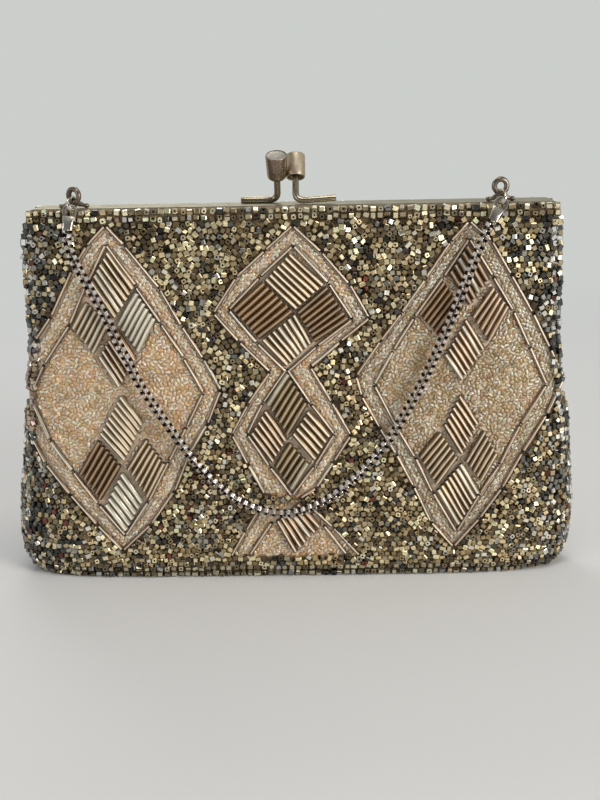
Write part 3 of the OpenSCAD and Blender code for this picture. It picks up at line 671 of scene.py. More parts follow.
def band_rows():
    """Rows of seeds between the outlines of each motif, as (x, z, angle)."""
    made = []
    for motif in MOTIFS:
        closed = motif is not FOOT_MOTIF
        line = np.array(motif + motif[:1] if closed else motif, float)
        middle = line[:-1].mean(0)
        for inset in (1.85, 3.5):
            for a, b in zip(line, line[1:]):
                if not closed and abs(a[1] - b[1]) < 1:
                    continue
                way = (b - a) / np.linalg.norm(b - a)
                inward = np.array([-way[1], way[0]])
                inward = inward if inward @ (middle - (a + b) / 2) > 0 else -inward
                count = int(np.linalg.norm(b - a) / 1.95)
                for t in (np.arange(count) + 0.5) / count:
                    made.append((*(a + (b - a) * t + inward * inset), math.atan2(way[1], way[0])))
    made = np.array(made)
    ok = in_motif(made[:, 0], made[:, 1]) & (gap_to_bugles(made[:, 0], made[:, 1]) > 0.55)
    ok &= np.abs(made[:, 0]) < EDGE_SHARE * half_width(made[:, 0], made[:, 1])
    made = made[ok]
    keep = np.ones(len(made), bool)
    for i in range(len(made)):
        if keep[i]:
            near = np.hypot(*(made[i + 1:, :2] - made[i, :2]).T) < 1.15
            keep[i + 1:][near] = False
    return made[keep]


def gap_to_bugles(x, z):
    """Distance from each point to the nearest bugle's side."""
    best = np.full(len(x), 99.0)
    p = np.stack([x, z], 1)
    for a, b, r, _ in BUGLES:
        t = np.clip(((p - a) @ (b - a)) / ((b - a) @ (b - a)), 0, 1)
        best = np.minimum(best, np.linalg.norm(p - a - t[:, None] * (b - a), axis=1) - r)
    return best


BAND = band_rows()


def scatter(motif_wanted, spacing, halves, fixed, angle_of, seed, rounds):
    """Beads spread over the background, or over the motifs' insides, as (x, z, angle)."""
    rng = np.random.default_rng(seed)
    gx, gz = np.meshgrid(np.arange(-105, 105, spacing), np.arange(5, TOP_Z - 5.2, spacing * 0.9))
    gx = gx + (np.arange(gx.shape[0]) % 2)[:, None] * spacing / 2
    points = np.stack([gx.ravel(), gz.ravel()], 1) + rng.normal(0, 0.55, (gx.size, 2))
    share = np.abs(points[:, 0]) / half_width(points[:, 0], points[:, 1])
    points = points[(share < 0.972) & (in_motif(points[:, 0], points[:, 1]) == motif_wanted)]
    points = points[gap_to_bugles(points[:, 0], points[:, 1]) > 0.1]
    angles = angle_of(points[:, 0], points[:, 1], rng)
    placed = relax(points, angles, np.tile(halves, (len(points), 1)), fixed, rounds)
    share = np.abs(placed[:, 0]) / half_width(placed[:, 0], placed[:, 1])
    good = (in_motif(placed[:, 0], placed[:, 1]) == motif_wanted) & (share < 0.98)
    good &= gap_to_bugles(placed[:, 0], placed[:, 1]) > halves[1] * 0.72
    good &= (placed[:, 1] > 5) & (placed[:, 1] < TOP_Z - 5.3)
    crowd = np.full(len(placed), 9.0)
    for i in range(0, len(placed), 500):
        d = np.linalg.norm(placed[i:i + 500, None] - placed[None], axis=2)
        d[np.arange(d.shape[0]), np.arange(i, i + d.shape[0])] = 9
        crowd[i:i + 500] = d.min(1)
    good &= crowd > halves[1] * 0.9
    return placed[good], angles[good]


def background_angle(x, z, rng):
    """Rows run along the edges of the purse and in slow curves elsewhere."""
    angle = swirl(x, z, 34, 5) + rng.normal(0, 0.5, len(x))
    low = rng.uniform(0, 1, len(x)) < np.clip(1 - (z - 5) / 9, 0, 1)
    angle = np.where(low, rng.normal(0, 0.25, len(x)), angle)
    side = rng.uniform(0, 1, len(x)) < np.clip((np.abs(x) - 86) / 7, 0, 1)
    return np.where(side & ~low, np.pi / 2 + rng.normal(0, 0.4, len(x)), angle)


def seed_angle(x, z, rng):
    return swirl(x, z, 12, 3) + rng.normal(0, 0.5, len(x))


def fixed_places():
    fixed = []
    for a, b, r, _ in BUGLES:
        steps = max(2, int(np.linalg.norm(b - a) / 0.9))
        fixed += [(*(a + (b - a) * t), r * 0.92) for t in np.linspace(0, 1, steps)]
    for z in FRONT_ROWS:
        fixed += [(x, z, 0.8) for x, z in edge_row(z)]
    fixed += [(x, z, 0.74) for x, z, _ in BAND]
    return np.array(fixed)


FIXED = fixed_places()
CUT_PLACES, CUT_ANGLES = scatter(False, 2.16, (1.24, 1.02), FIXED, background_angle, 11, 44)
SEED_PLACES, SEED_ANGLES = scatter(True, 1.72, (1.06, 0.7), FIXED, seed_angle, 12, 40)
print("beads on the front:", len(CUT_PLACES), "cut,", len(SEED_PLACES), "seeds,", len(BAND), "in bands,",
      len(BUGLES), "bugles")


def stand_some(axes, tops, share, rng):
    """Turns some of the beads so that their holes face out."""
    standing = rng.uniform(0, 1, len(axes)) < share
    axes, tops = axes.copy(), tops.copy()
    axes[standing], tops[standing] = tops[standing], axes[standing]
    return axes, tops


def in_three(kind, back, x, cuts, make, arrays, glass, rng):
    """Makes beads as three pieces, which are cut at two places along x."""
    for k, label in enumerate(("left", "middle", "right")):
        chosen = np.digitize(x, cuts) == k
        mesh = make(*(a[chosen] for a in arrays), rng)
        finish_beads(f"{SIDES[back]}_{kind}_{label}", mesh, [glass], back)


def background_beads(back):
    rng = np.random.default_rng(21 + back)
    x, z = CUT_PLACES.T
    count = len(x)
    centres, axes, tops = on_front(x, z, CUT_ANGLES, 0.76 + rng.uniform(0, 0.45, count), 0.13, rng)
    axes, tops = stand_some(axes, tops, 0.15, rng)
    # Towards the sides more beads take the edge mix, with its painted reflection and shade.
    side = np.clip((np.abs(x) / half_width(x, z) - 0.78) / 0.2, 0, 1)
    tints = np.where((rng.uniform(0, 1, count) < side)[:, None], pick_tints(count, EDGE_MIX, rng),
                     pick_tints(count, BACKGROUND, rng))
    # Painted shade: beads darken by up to 30% towards the left edge, the side away from the window lamp.
    tints *= (0.95 - 0.3 * np.clip((-x - 80) / 12, 0, 1))[:, None] * np.array((1.03, 0.98, 0.88))
    arrays = (centres, axes, tops, tints, spread_scales(count, rng))
    in_three("cut_beads", back, x, (-28, 33), cut_bead_mesh, arrays, CUT_GLASS, rng)


def seed_beads(back):
    rng = np.random.default_rng(31 + back)
    x = np.concatenate([SEED_PLACES[:, 0], BAND[:, 0]])
    z = np.concatenate([SEED_PLACES[:, 1], BAND[:, 1]])
    angle = np.concatenate([SEED_ANGLES, BAND[:, 2] + rng.normal(0, 0.12, len(BAND))])
    band = np.arange(len(x)) >= len(SEED_PLACES)
    centres, axes, tops = on_front(x, z, angle, rng.uniform(-0.3, 0.05, len(x)), 0.1, rng)
    tints = np.where(band[:, None], pick_tints(len(x), BAND_SEEDS, rng), pick_tints(len(x), SEEDS, rng))
    scales = spread_scales(len(x), rng, 0.06, 0.08)
    level = np.where(x > 21, 0.66, 0.95)[:, None]
    tints *= level * np.where(band[:, None], (1, 0.94, 0.92), (0.97, 0.85, 0.76))
    scales[band] *= (1.1, 0.92, 1.1)
    arrays = (centres, axes, tops, tints, scales)
    in_three("seed_beads", back, x, (-26, 21), seed_bead_mesh, arrays, SEED_GLASS, rng)


BUGLE_TINTS = {"gold": (0.25, 0.155, 0.065), "pale": (0.39, 0.28, 0.16), "silver": (0.50, 0.45, 0.34),
               "brown": (0.15, 0.07, 0.018), "copper": (0.24, 0.125, 0.05), "olive": (0.18, 0.11, 0.035),
               "line": (0.30, 0.19, 0.11)}
# How strong the painted highlight along each bugle's top is, by tint, and its colour.
PAINTED_HIGHLIGHT_LEVEL = {"gold": 1.0, "pale": 1.0, "silver": 1.0, "brown": 0.45, "copper": 0.95, "olive": 0.6,
                "line": 1.0}
PAINTED_HIGHLIGHT = (1.0, 0.93, 0.77)


def bugle_colours(tints, highlight_levels, falling):
    """A painted highlight along the top of each, fainter on those that run up to the right, which the window
    lamp glints less; the barrel's sides and ends are painted darker as shade, and the hole nearly black.
    """
    facing = np.sin(np.pi / 2 + np.arange(1, BUGLE_SIDES + 1) * 2 * np.pi / BUGLE_SIDES)
    # Painted shade round the barrel by the way each face turns, darker ends and a nearly black hole; the top
    # face gets the painted highlight.
    barrel = np.interp(facing, [-1, 0.0, 0.5, 0.87, 1], [0.12, 0.32, 0.75, 1.0, 1.0])
    top = facing > 0.95
    line = np.where(falling[:, None], top * 1.0, top * 0.55) * highlight_levels[:, None]
    ends = np.array([0.35, 0.45, 1, 0.45, 0.35, 0.05])
    shade = ends[:, None] * barrel
    base = tints[:, None, None, :] * shade[None, :, :, None]
    share = (line[:, None, :] * (ends == 1)[None, :, None])[..., None]
    return (base * (1 - share) + np.array(PAINTED_HIGHLIGHT) * share).reshape(-1, 3)


def bugle_beads(back):
    rng = np.random.default_rng(41 + back)
    wall = [(0.42, -0.5), (0.9, -0.5), (1, -0.488), (1, 0.488), (0.9, 0.5), (0.42, 0.5)]
    template, faces = bead_template(wall, BUGLE_SIDES, np.pi / 2 + np.pi / BUGLE_SIDES)
    a, b, radius, names = (np.array(column) for column in zip(*BUGLES))
    count = len(radius)
    low, high = (front_point(*p.T) + normal(*p.T) * (radius + 0.25)[:, None] for p in (a, b))
    middle = ((a + b) / 2).T
    centres = (low + high) / 2
    centres[:, 1] = np.minimum(centres[:, 1], -depth(*middle) - radius - 0.15)
    axes = high - low
    length = np.linalg.norm(axes, axis=1)
    axes = unit(axes / length[:, None] + rng.normal(0, 0.01, axes.shape))
    tints = np.array([BUGLE_TINTS[k] for k in names])
    tints = np.clip(tints * (1 + rng.normal(0, 0.12, (count, 1))), 0, 1)
    pale = rng.uniform(0, 1, count) < 0.1
    tints[pale] = tints[pale] * 0.5 + np.array(BUGLE_TINTS["silver"]) * 0.5
    highlight_levels = np.array([PAINTED_HIGHLIGHT_LEVEL[k] for k in names]) * rng.uniform(0.85, 1.0, count)
    falling = (b[:, 0] - a[:, 0]) * (b[:, 1] - a[:, 1]) < 0
    scales = np.stack([radius * (1 + rng.normal(0, 0.02, count)), length * rng.uniform(0.975, 1.0, count),
                       radius * (1 + rng.normal(0, 0.02, count))], 1)
    points, all_faces = place_beads(template, faces, centres, axes, normal(*middle), scales)
    # The top face, which carries the painted highlight, gets its own material.
    barrel = np.repeat(np.arange(len(wall)), BUGLE_SIDES) == 2
    lit = barrel & (np.arange(len(barrel)) % BUGLE_SIDES == BUGLE_SIDES - 1)
    mesh = (points, all_faces, bugle_colours(tints, highlight_levels, falling), np.tile(barrel, count))
    side = SIDES[back]
    obj = finish_beads(f"{side}_bugle_beads", mesh, [BUGLE_GLASS, HIGHLIGHT_LINE_GLASS], back,
                       glass_of=np.tile(lit, count))
    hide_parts(f"{side}_bugles_lower", f"{side}_bugles_fold", f"{side}_bugles_upper")


def stitches(back):
    """Dark thread that shows where one bugle of a line ends and the next begins."""
    rng = np.random.default_rng(45 + back)
    lines = [b for b in BUGLES if b[3] == "line"]
    x, z = np.array([p for b in lines for p in b[:2]]).T
    ways = np.array([b[1] - b[0] for b in lines for _ in range(2)])
    angle = np.arctan2(ways[:, 1], ways[:, 0]) + np.pi / 2 + rng.normal(0, 0.4, len(x))
    centres, axes, tops = on_front(x, z, angle, np.full(len(x), 0.75), 0.1, rng)
    scales = np.array([0.5, 0.55, 0.5]) * (1 + rng.normal(0, 0.15, (len(x), 3)))
    points, faces = place_beads(SEED_POINTS, SEED_FACES, centres, axes, tops, scales)
    finish_beads(f"{SIDES[back]}_stitches", (points, faces, None, True), [THREAD], back)


def row_beads(back):
    """Two rows along the frame, which ride on it, and two along the base."""
    rng = np.random.default_rng(51 + back)
    # The base rows' tints are scaled to 0.6: painted shade near the floor.
    for label, heights, body, level in (("top", FRONT_ROWS[:2], FRAMES[back], 0.98),
                                        ("base", FRONT_ROWS[2:], "pouch", 0.6)):
        xz = np.concatenate([edge_row(z) for z in heights])
        count = len(xz)
        x, z = xz[:, 0] + rng.normal(0, 0.15, count), xz[:, 1] + rng.normal(0, 0.16, count)
        centres, axes, tops = on_front(x, z, rng.normal(0, 0.14, count), 0.85 + rng.uniform(0, 0.4, count),
                                       0.14, rng)
        centres[:, 2] = np.clip(centres[:, 2], 1.15, TOP_Z - 1.3)
        axes, tops = stand_some(axes, tops, 0.3, rng)
        tints = pick_tints(count, ROW_MIX, rng) * level
        mesh = cut_bead_mesh(centres, axes, tops, tints, spread_scales(count, rng), rng)
        obj = finish_beads(f"{SIDES[back]}_{label}_row_beads", mesh, [CUT_GLASS], back, body)
        if label == "top":
            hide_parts(f"{SIDES[back]}_edge_beads")
        elif not back:
            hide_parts("base_edge_beads")


# Side edges. WRAP_START is the share of the half width at which they begin
WRAP_START = 0.034


def wrap_point(t, z, side):
    """The front quarter of a side: t runs from the front's edge beads to the middle of the side, y = 0."""
    t, z = np.asarray(t, float), np.asarray(z, float)
    w = half_width(np.full(t.shape, side), z)
    on_face = np.clip(t / 0.6, 0, 1)
    share = 1 - WRAP_START * (1 - on_face) ** 2
    edge = edge_depth(z)
    y = edge + (full_depth(z) - edge) * np.sqrt(np.clip(1 - share ** 5.5, 0, 1))
    over = np.clip((t - 0.6) / 0.4, 0, 1)
    return np.stack([side * (w * share + 0.5 * np.sin(over * np.pi / 2)), -y * (1 - over), z], -1)


def wrap_normal(t, z, side):
    du = wrap_point(np.minimum(t + 0.01, 1), z, side) - wrap_point(np.maximum(t - 0.01, 0), z, side)
    dz = wrap_point(t, z + 0.3, side) - wrap_point(t, z - 0.3, side)
    n = unit(np.cross(du, dz))
    return n * np.sign(n[..., :1] * side + 1e-9)


def wrap_rows(z0, z1, y_limit, rng):
    """Places (t, z) of beads in rows round the side, as far as y_limit."""
    made = []
    for z in np.arange(z0, z1, 1.78):
        t = np.linspace(0, 1, 120)
        line = wrap_point(t, np.full(120, z), 1)
        arc = np.concatenate([[0], np.cumsum(np.linalg.norm(np.diff(line, axis=0), axis=1))])
        stop = arc[np.searchsorted(line[:, 1], y_limit) - 1] if y_limit < 0 else arc[-1]
        for s in np.arange(rng.uniform(0.3, 1.1), stop, 1.95):
            made.append((np.interp(s, arc, t), z + rng.normal(0, 0.2)))
    return np.array(made)


def joined(first, second):
    """Two bead meshes as one."""
    faces = np.vstack([first[1], second[1] + len(first[0])])
    colours = np.vstack([first[2], second[2]])
    return np.vstack([first[0], second[0]]), faces, colours, np.concatenate([first[3], second[3]])


def side_beads(back):
    rng = np.random.default_rng(61 + back)
    for label, z0, z1, limit, behind, body in (("lower", 2.4, 63, 0.0, -0.9, "pouch"),
                                               ("upper", 64.5, TOP_Z - 4.5, -7.4, -7.8, None)):
        meshes = []
        for side in (-1.0, 1.0):
            t, z = wrap_rows(z0, z1, limit, rng).T
            upright = rng.uniform(0, 1, len(t)) < 0.7
            along = np.where(upright[:, None], [0, 0, 1.0], [0.3, 1.0, 0])
            along = along + rng.normal(0, 0.25, along.shape)
            lift = 0.7 + rng.uniform(0, 0.4, len(t))
            out = wrap_normal(t, z, side)
            centres, axes, tops = laid(wrap_point(t, z, side), out, along, lift, 0.15, rng)
            ok = centres[:, 1] < behind
            # The edge mix carries painted reflection and shade.
            tints = pick_tints(len(t), EDGE_MIX, rng)
            band = (z > 57) & (z < 86) & (side < 0)
            tints[band] = pick_tints(band.sum(), BAND_SEEDS, rng)
            scales = spread_scales(ok.sum(), rng)
            meshes.append(cut_bead_mesh(centres[ok], axes[ok], tops[ok], tints[ok], scales, rng))
        name = f"{SIDES[back]}_side_beads_{label}"
        obj = finish_beads(name, joined(*meshes), [CUT_GLASS], back, body)
        if label == "lower":
            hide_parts("side_edge_right" if back else "side_edge_left")


def seam_beads():
    """A single column down the middle of each side, where the front and back meet."""
    rng = np.random.default_rng(71)
    z = np.arange(2.2, 67, 2.05)
    count = len(z)
    meshes = []
    for side in (-1.0, 1.0):
        out, up = (np.tile(way, (count, 1)) for way in ([side, 0, 0], [0, 0, 1.0]))
        surface = wrap_point(np.ones(count), z, side)
        centres, axes, tops = laid(surface, out, up, np.full(count, 0.6), 0.12, rng)
        # The edge mix carries painted reflection and shade.
        tints = pick_tints(count, EDGE_MIX, rng)
        meshes.append(cut_bead_mesh(centres, axes, tops, tints, spread_scales(count, rng), rng))
    finish_beads("side_seam_beads", joined(*meshes), [CUT_GLASS], False, "pouch")


# Cloth
def grid_faces(rows, columns, flip=False):
    i, j = np.meshgrid(np.arange(rows - 1), np.arange(columns - 1), indexing="ij")
    a = (i * columns + j).ravel()
    quads = np.stack([a, a + 1, a + columns + 1, a + columns], 1)
    return quads[:, ::-1] if flip else quads


# Thicknesses, and how far the lining lies inside the front's surface
CLOTH_T = 0.9
LINING_T = 0.5
LINING_IN = 2.3


def thick_sheet(name, grid, offset, materials, slots=0, back=False, inward=False):
    """A closed thin solid: a grid of points and its copy at an offset. slots can differ by face."""
    rows, columns = grid.shape[:2]
    outer = grid.reshape(-1, 3)
    inner = outer + np.array(offset)
    if back:
        outer, inner = flip_to_back(inner), flip_to_back(outer)
    if inward:
        outer, inner = inner, outer
    top = grid_faces(rows, columns)
    low = grid_faces(rows, columns, True) + rows * columns
    rim = np.concatenate([np.arange(columns), np.arange(1, rows) * columns + columns - 1,
                          (rows - 1) * columns + np.arange(columns - 2, -1, -1),
                          np.arange(rows - 2, 0, -1) * columns])
    following = np.roll(rim, -1)
    wall = np.stack([following, rim, rim + rows * columns, following + rows * columns], 1)
    slots = np.full(len(top), slots)
    slots = np.concatenate([slots, slots, np.zeros(len(wall), int)])
    return mesh_piece(name, np.vstack([outer, inner]), np.vstack([top, low, wall]), materials, slots)


CLOTH_HEIGHTS = np.concatenate([[0.9, 1.8, 3], np.arange(4.5, TOP_Z - 0.5, 1.5), [TOP_Z - 0.4]])
CLOTH_SHARES = np.sin(np.linspace(-1, 1, 131) * np.pi / 2)


def front_cloth(back):
    """The ground that the beads are sewn to: the same cloth painted dark brown between the motifs as the
    shade in the deep gaps among the cut beads, and peach inside them as painted light shining through the
    clear seeds.
    """
    z, s = np.meshgrid(CLOTH_HEIGHTS, CLOTH_SHARES, indexing="ij")
    x = s * half_width(s, z)
    middle = [((a[:-1, :-1] + a[1:, 1:]) / 2).ravel() for a in (x, z)]
    side = SIDES[back]
    obj = thick_sheet(f"{side}_cloth", front_point(x, z), (0, CLOTH_T, 0), [GROUND_CLOTH_PAINTED_SHADE, MOTIF_CLOTH_PAINTED_LIGHT],
                      in_motif(*middle), back)
    hold(obj)
    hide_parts(f"pouch_{side}_panel", f"{side}_fold", f"{side}_upper_panel")


def side_cloth(side):
    """The narrow strip between front and back at one side, up to below the hinge."""
    z, t = np.meshgrid(np.arange(1.2, 67.5, 1.6), np.linspace(0.6, 1, 5), indexing="ij")
    quarter = wrap_point(t, z, side)
    strip = np.concatenate([quarter, flip_to_back(quarter[:, -2::-1])], 1)
    obj = thick_sheet(f"side_cloth_{'left' if side < 0 else 'right'}", strip, (-side * CLOTH_T, 0, 0),
                      [GROUND_CLOTH_PAINTED_SHADE], inward=side > 0)
    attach(obj, "pouch")


def base_cloth():
    s, t = np.meshgrid(np.linspace(-1, 1, 61), np.linspace(-1, 1, 15), indexing="ij")
    x = s * np.where(s < 0, 91.5, 87.5)
    y = t * (depth(x, np.full(x.shape, 1.0)) - 0.4)
    z = 0.25 + 0.5 * np.abs(t) ** 6 + 0.9 * np.abs(s) ** 14
    obj = thick_sheet("base_cloth", np.stack([x, y, z], -1), (0, 0, CLOTH_T), [GROUND_CLOTH_PAINTED_SHADE])
    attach(obj, "pouch")
    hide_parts("base_panel")


def lining_wall(back):
    """The lining of one side, from the base to the frame, gathered a little below the frame."""
    z, s = np.meshgrid(np.concatenate([np.arange(3.6, 130, 1.6), [131, 133, 135.4]]), CLOTH_SHARES[1:-1:2],
                       indexing="ij")
    x = s * (half_width(s, z) - 2.4)
    puff = 0.28 * np.sin(x / 2.6 + 1.5 * np.sin(z / 19)) * np.interp(z, [8, 40, 100, 128], [0.2, 1, 1, 0])
    y = np.minimum(depth(x, z) - LINING_IN, np.interp(z, [70, 122, 130], [60, 8, 5.2]))
    y = np.maximum(y - np.abs(puff), 0.9)
    side = SIDES[back]
    obj = thick_sheet(f"{side}_lining", np.stack([x, -y, z], -1), (0, LINING_T, 0), [LINING_CLOTH], back=back)
    hold(obj)
    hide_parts(f"lining_{side}_fold", f"lining_{side}_upper")


def lining_floor():
    s, t = np.meshgrid(np.linspace(-1, 1, 61), np.linspace(-1, 1, 13), indexing="ij")
    x = s * 94
    y = t * np.maximum(depth(x, np.full(x.shape, 8.0)) - 2.5, 0.8)
    z = 3.5 + 0.15 * np.sin(x / 9) * (1 - t ** 2) + 3.2 * np.abs(s) ** 12
    obj = thick_sheet("lining_floor", np.stack([x, y, z], -1), (0, 0, LINING_T), [LINING_CLOTH])
    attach(obj, "pouch")
    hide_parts("lining_pouch")


def pocket():
    """A slip pocket on the back lining, with a stitched hem along its open top."""
    low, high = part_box("slip_pocket")
    x0, x1, z0, z1 = low.x / MM, high.x / MM, low.z / MM, high.z / MM
    z, s = np.meshgrid(np.linspace(z0, z1, 25), np.linspace(0, 1, 49), indexing="ij")
    x = x0 + (x1 - x0) * s
    rise = (z - z0) / (z1 - z0)
    gape = 0.9 * rise ** 2 * np.sin(np.pi * s) + 0.1 * np.sin(s * 40)
    hem = np.where(rise > 0.9, 0.25, 0)
    y = depth(x, z) - LINING_IN - 0.9 - gape - hem
    obj = thick_sheet("pocket", np.stack([x, y, z], -1), (0, -LINING_T, 0), [LINING_CLOTH], inward=True)
    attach(obj, "pouch")
    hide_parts("slip_pocket")


# Frame, lock and handle
def clean_piece(name, points, faces, metal, angle=40):
    """A metal piece from loose points and faces: doubles merged, normals outward, smooth up to an angle."""
    mesh = bpy.data.meshes.new(name)
    bm = bmesh.new()
    verts = [bm.verts.new(p) for p in points * MM]
    for face in faces:
        bm.faces.new([verts[i] for i in face])
    bmesh.ops.remove_doubles(bm, verts=bm.verts, dist=1e-6)
    bmesh.ops.recalc_face_normals(bm, faces=bm.faces)
    for f in bm.faces:
        f.smooth = True
    for e in bm.edges:
        e.smooth = len(e.link_faces) != 2 or e.calc_face_angle(0) < math.radians(angle)
    bm.to_mesh(mesh)
    bm.free()
    mesh.materials.append(metal)
    return new_object(name, mesh)


def moved(points, direction, place):
    """Points turned so that their Z axis is the direction and their X axis lies near X, then moved."""
    z = unit(direction)
    x = unit(np.array([1.0, 0, 0]) - z * z[0])
    return points @ np.stack([x, np.cross(z, x), z]) + place


def bend(start, corner, end, radius, steps=10):
    """A path from start to end by way of a rounded corner."""
    t = np.linspace(0, 1, steps)[:, None]
    near, far = corner + unit(start - corner) * radius, corner + unit(end - corner) * radius
    return np.vstack([start, near * (1 - t) ** 2 + 2 * corner * t * (1 - t) + far * t ** 2, end])


ROD_R = 1.22
ROD_BEND_R = 3.1
ROD_IN_KNOB = 3.4
KNOB_LIFT = 7.6
LOCK = {"left": {"x": -5.45, "y": 3.4, "way": -1, "lean": -25, "foot": 13.3, "rise": 0, "body": "rear_frame"},
        "right": {"x": 1.2, "y": -3.4, "way": 1, "lean": 27, "foot": 14.4, "rise": 0.9,
                  "body": "front_frame"}}


def lock_arm(side):
    """A bent rod, its foot flattened where it is soldered to the rail."""
    arm = LOCK[side]
    x, y = arm["x"], arm["y"]
    lean = math.radians(arm["lean"])
    low = TOP_Z + ROD_R - 0.05
    base = np.array([x, y + KNOB_LIFT * math.tan(lean), low + KNOB_LIFT])
    up = np.array([0, math.sin(lean), math.cos(lean)])
    foot_end = np.array([x + arm["way"] * arm["foot"], y, low + arm["rise"]])
    path = bend(foot_end, np.array([x, y, low]), base + up * ROD_IN_KNOB, ROD_BEND_R)
    steps = np.linspace(0, 1, 14)[1:-1, None]
    path = np.vstack([path[0], path[0] + (path[1] - path[0]) * steps, path[1:]])
    radii = np.full(len(path), ROD_R)
    radii[0] *= 0.93
    points, faces = tube(path, radii, 20)
    flat = np.clip((np.abs(points[:, 0] - x) - 2.2) / 2, 0, 1)
    points[:, 1] = y + (points[:, 1] - y) * (1 + 0.18 * flat)
    under = points[:, 2] < low
    points[:, 2] = np.where(under, low + (points[:, 2] - low) * (1 - 0.06 * flat), points[:, 2])
    obj = clean_piece(f"lock_arm_{side}", points, faces, LOCK_METAL)
    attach(obj, arm["body"])
    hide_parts(f"latch_arm_{side}")
    return base, up


def lock_knob(side, base, up):
    """A turned knob, hollow at its top, and the disc that lies in it."""
    if side == "left":
        # The left knob's metal carries a painted reflection of warm brown surroundings.
        r, top, metal = 3.9, 9.5, KNOB_METAL
        outline = [(0, 0.6), (1.25, 0.55), (1.4, 0.15), (1.9, 0.1), (2.8, 0.35), (3.3, 0.85), (3.5, 1.6),
                   (r, top - 0.45), (r, top - 0.2), (r - 0.08, top - 0.05)]
    else:
        r, top, metal = 3.5, 9.0, KNOB_BRASS
        outline = [(0, 4.4), (2.3, 4.3), (2.75, 3.9), (2.85, 0.7), (2.95, 0.43), (3.15, 0.35), (3.32, 0.43),
                   (3.4, 0.7), (r, 1.4), (r, top - 0.5), (r - 0.1, top - 0.15)]
    outline += [(r - 0.25, top), (r - 0.4, top - 0.04), (r - 0.46, top - 0.4), (0, top - 0.4)]
    cover = [(0, top - 0.5), (r - 0.42, top - 0.5), (r - 0.42, top - 0.18), (r - 0.6, top - 0.12),
             (1.5, top - 0.1), (0, top - 0.09)]
    for kind, profile, look in (("knob", outline, metal), ("disc", cover, DISC_METAL)):
        points, faces = turned(profile, 48)
        obj = clean_piece(f"lock_{kind}_{side}", moved(points, up, base), faces, look, 50)
        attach(obj, LOCK[side]["body"])
        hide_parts(f"latch_{kind}_{side}")


EYE_Y = -4.6
EYE_WIRE_Z = TOP_Z + 2.6
CAP_PIVOT_Y = -12.4
CAP_PIVOT_Z = TOP_Z + 1.6
CAP_FORWARD = math.radians(-8)
HANDLE = {"left": {"x": -78.0, "tilt": math.radians(8), "ring": -0.5, "turn": math.radians(-30)},
          "right": {"x": 74.0, "tilt": math.radians(28), "ring": 0.4, "turn": math.radians(12)}}
CHAIN_T = 3.3


def pivot(side):
    return np.array([HANDLE[side]["x"], CAP_PIVOT_Y, CAP_PIVOT_Z])


def cap_way(side):
    tilt = HANDLE[side]["tilt"]
    return np.array([-math.sin(tilt) * math.cos(CAP_FORWARD), math.sin(CAP_FORWARD),
                     -math.cos(tilt) * math.cos(CAP_FORWARD)])


def ring_lug(side):
    """A ring of thick wire whose two ends curl out along the rail and finish in small balls."""
    handle = HANDLE[side]
    ring_r, centre_z, count = 2.3, 5.0 + handle["ring"], 40
    angles = np.radians(np.linspace(-118, 298, count))
    across = ring_r * np.cos(angles)
    ring = np.stack([across * math.cos(handle["turn"]), across * math.sin(handle["turn"]),
                     ring_r * np.sin(angles) + centre_z], 1)
    ring[:, 1] += np.linspace(-0.45, 0.45, count)
    foot = [(-5.2, -0.5, 0.95), (-4.0, -0.5, 0.9), (-2.4, -0.5, 1.35)]
    line = smooth_path(foot + ring[3:-3].tolist() + [(-x, -y, z) for x, y, z in foot[::-1]], 120)
    stops = [0, 0.035, 0.07, 0.13, 0.87, 0.93, 0.965, 1]
    radii = np.interp(np.linspace(0, 1, len(line)), stops, [0.55, 0.95, 0.66, 0.98, 0.98, 0.66, 0.95, 0.55])
    points, faces = tube(line, radii, 14)
    obj = clean_piece(f"ring_lug_{side}", points + [handle["x"], EYE_Y, TOP_Z - 0.05], faces, DARK_METAL, 60)
    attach(obj, "front_frame")
    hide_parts(f"handle_eye_{side}")


def smooth_path(path, count):
    """A smooth curve through the points, sampled evenly."""
    path = np.asarray(path, float)
    ext = np.vstack([2 * path[0] - path[1], path, 2 * path[-1] - path[-2]])
    out = []
    for i in range(1, len(ext) - 2):
        p0, p1, p2, p3 = ext[i - 1:i + 3]
        t = np.linspace(0, 1, 12, endpoint=False)[:, None]
        out.append(0.5 * (2 * p1 + (p2 - p0) * t + (2 * p0 - 5 * p1 + 4 * p2 - p3) * t ** 2
                          + (3 * p1 - p0 - 3 * p2 + p3) * t ** 3))
    dense = np.vstack([*out, path[-1:]])
    arc = np.concatenate([[0], np.cumsum(np.linalg.norm(np.diff(dense, axis=0), axis=1))])
    at = np.linspace(0, arc[-1], count)
    return np.stack([np.interp(at, arc, dense[:, k]) for k in range(3)], 1)


def strip_loop(path, along, half_w, half_t, corner=0.3):
    """A closed loop of flat strip along a closed path, its width along one direction."""
    tangent = unit(np.roll(path, -1, 0) - np.roll(path, 1, 0))
    wide = np.tile(unit(along), (len(path), 1))
    thin = unit(np.cross(tangent, wide))
    c = corner * half_t
    section = [(half_w - c, half_t), (-half_w + c, half_t), (-half_w, half_t - c), (-half_w, -half_t + c),
               (-half_w + c, -half_t), (half_w - c, -half_t), (half_w, -half_t + c), (half_w, half_t - c)]
    rings = np.stack([path + a * wide + b * thin for a, b in section], 1)
    return rings.reshape(-1, 3), ring_faces(*rings.shape[:2], True)


def oval(length, radius, steps=14):
    """A closed oval path in a plane: two half circles joined by straight runs, as (along, across)."""
    a = np.linspace(-np.pi / 2, np.pi / 2, steps)
    right = np.stack([length / 2 + radius * np.cos(a), radius * np.sin(a)], 1)
    return np.vstack([right, -right])


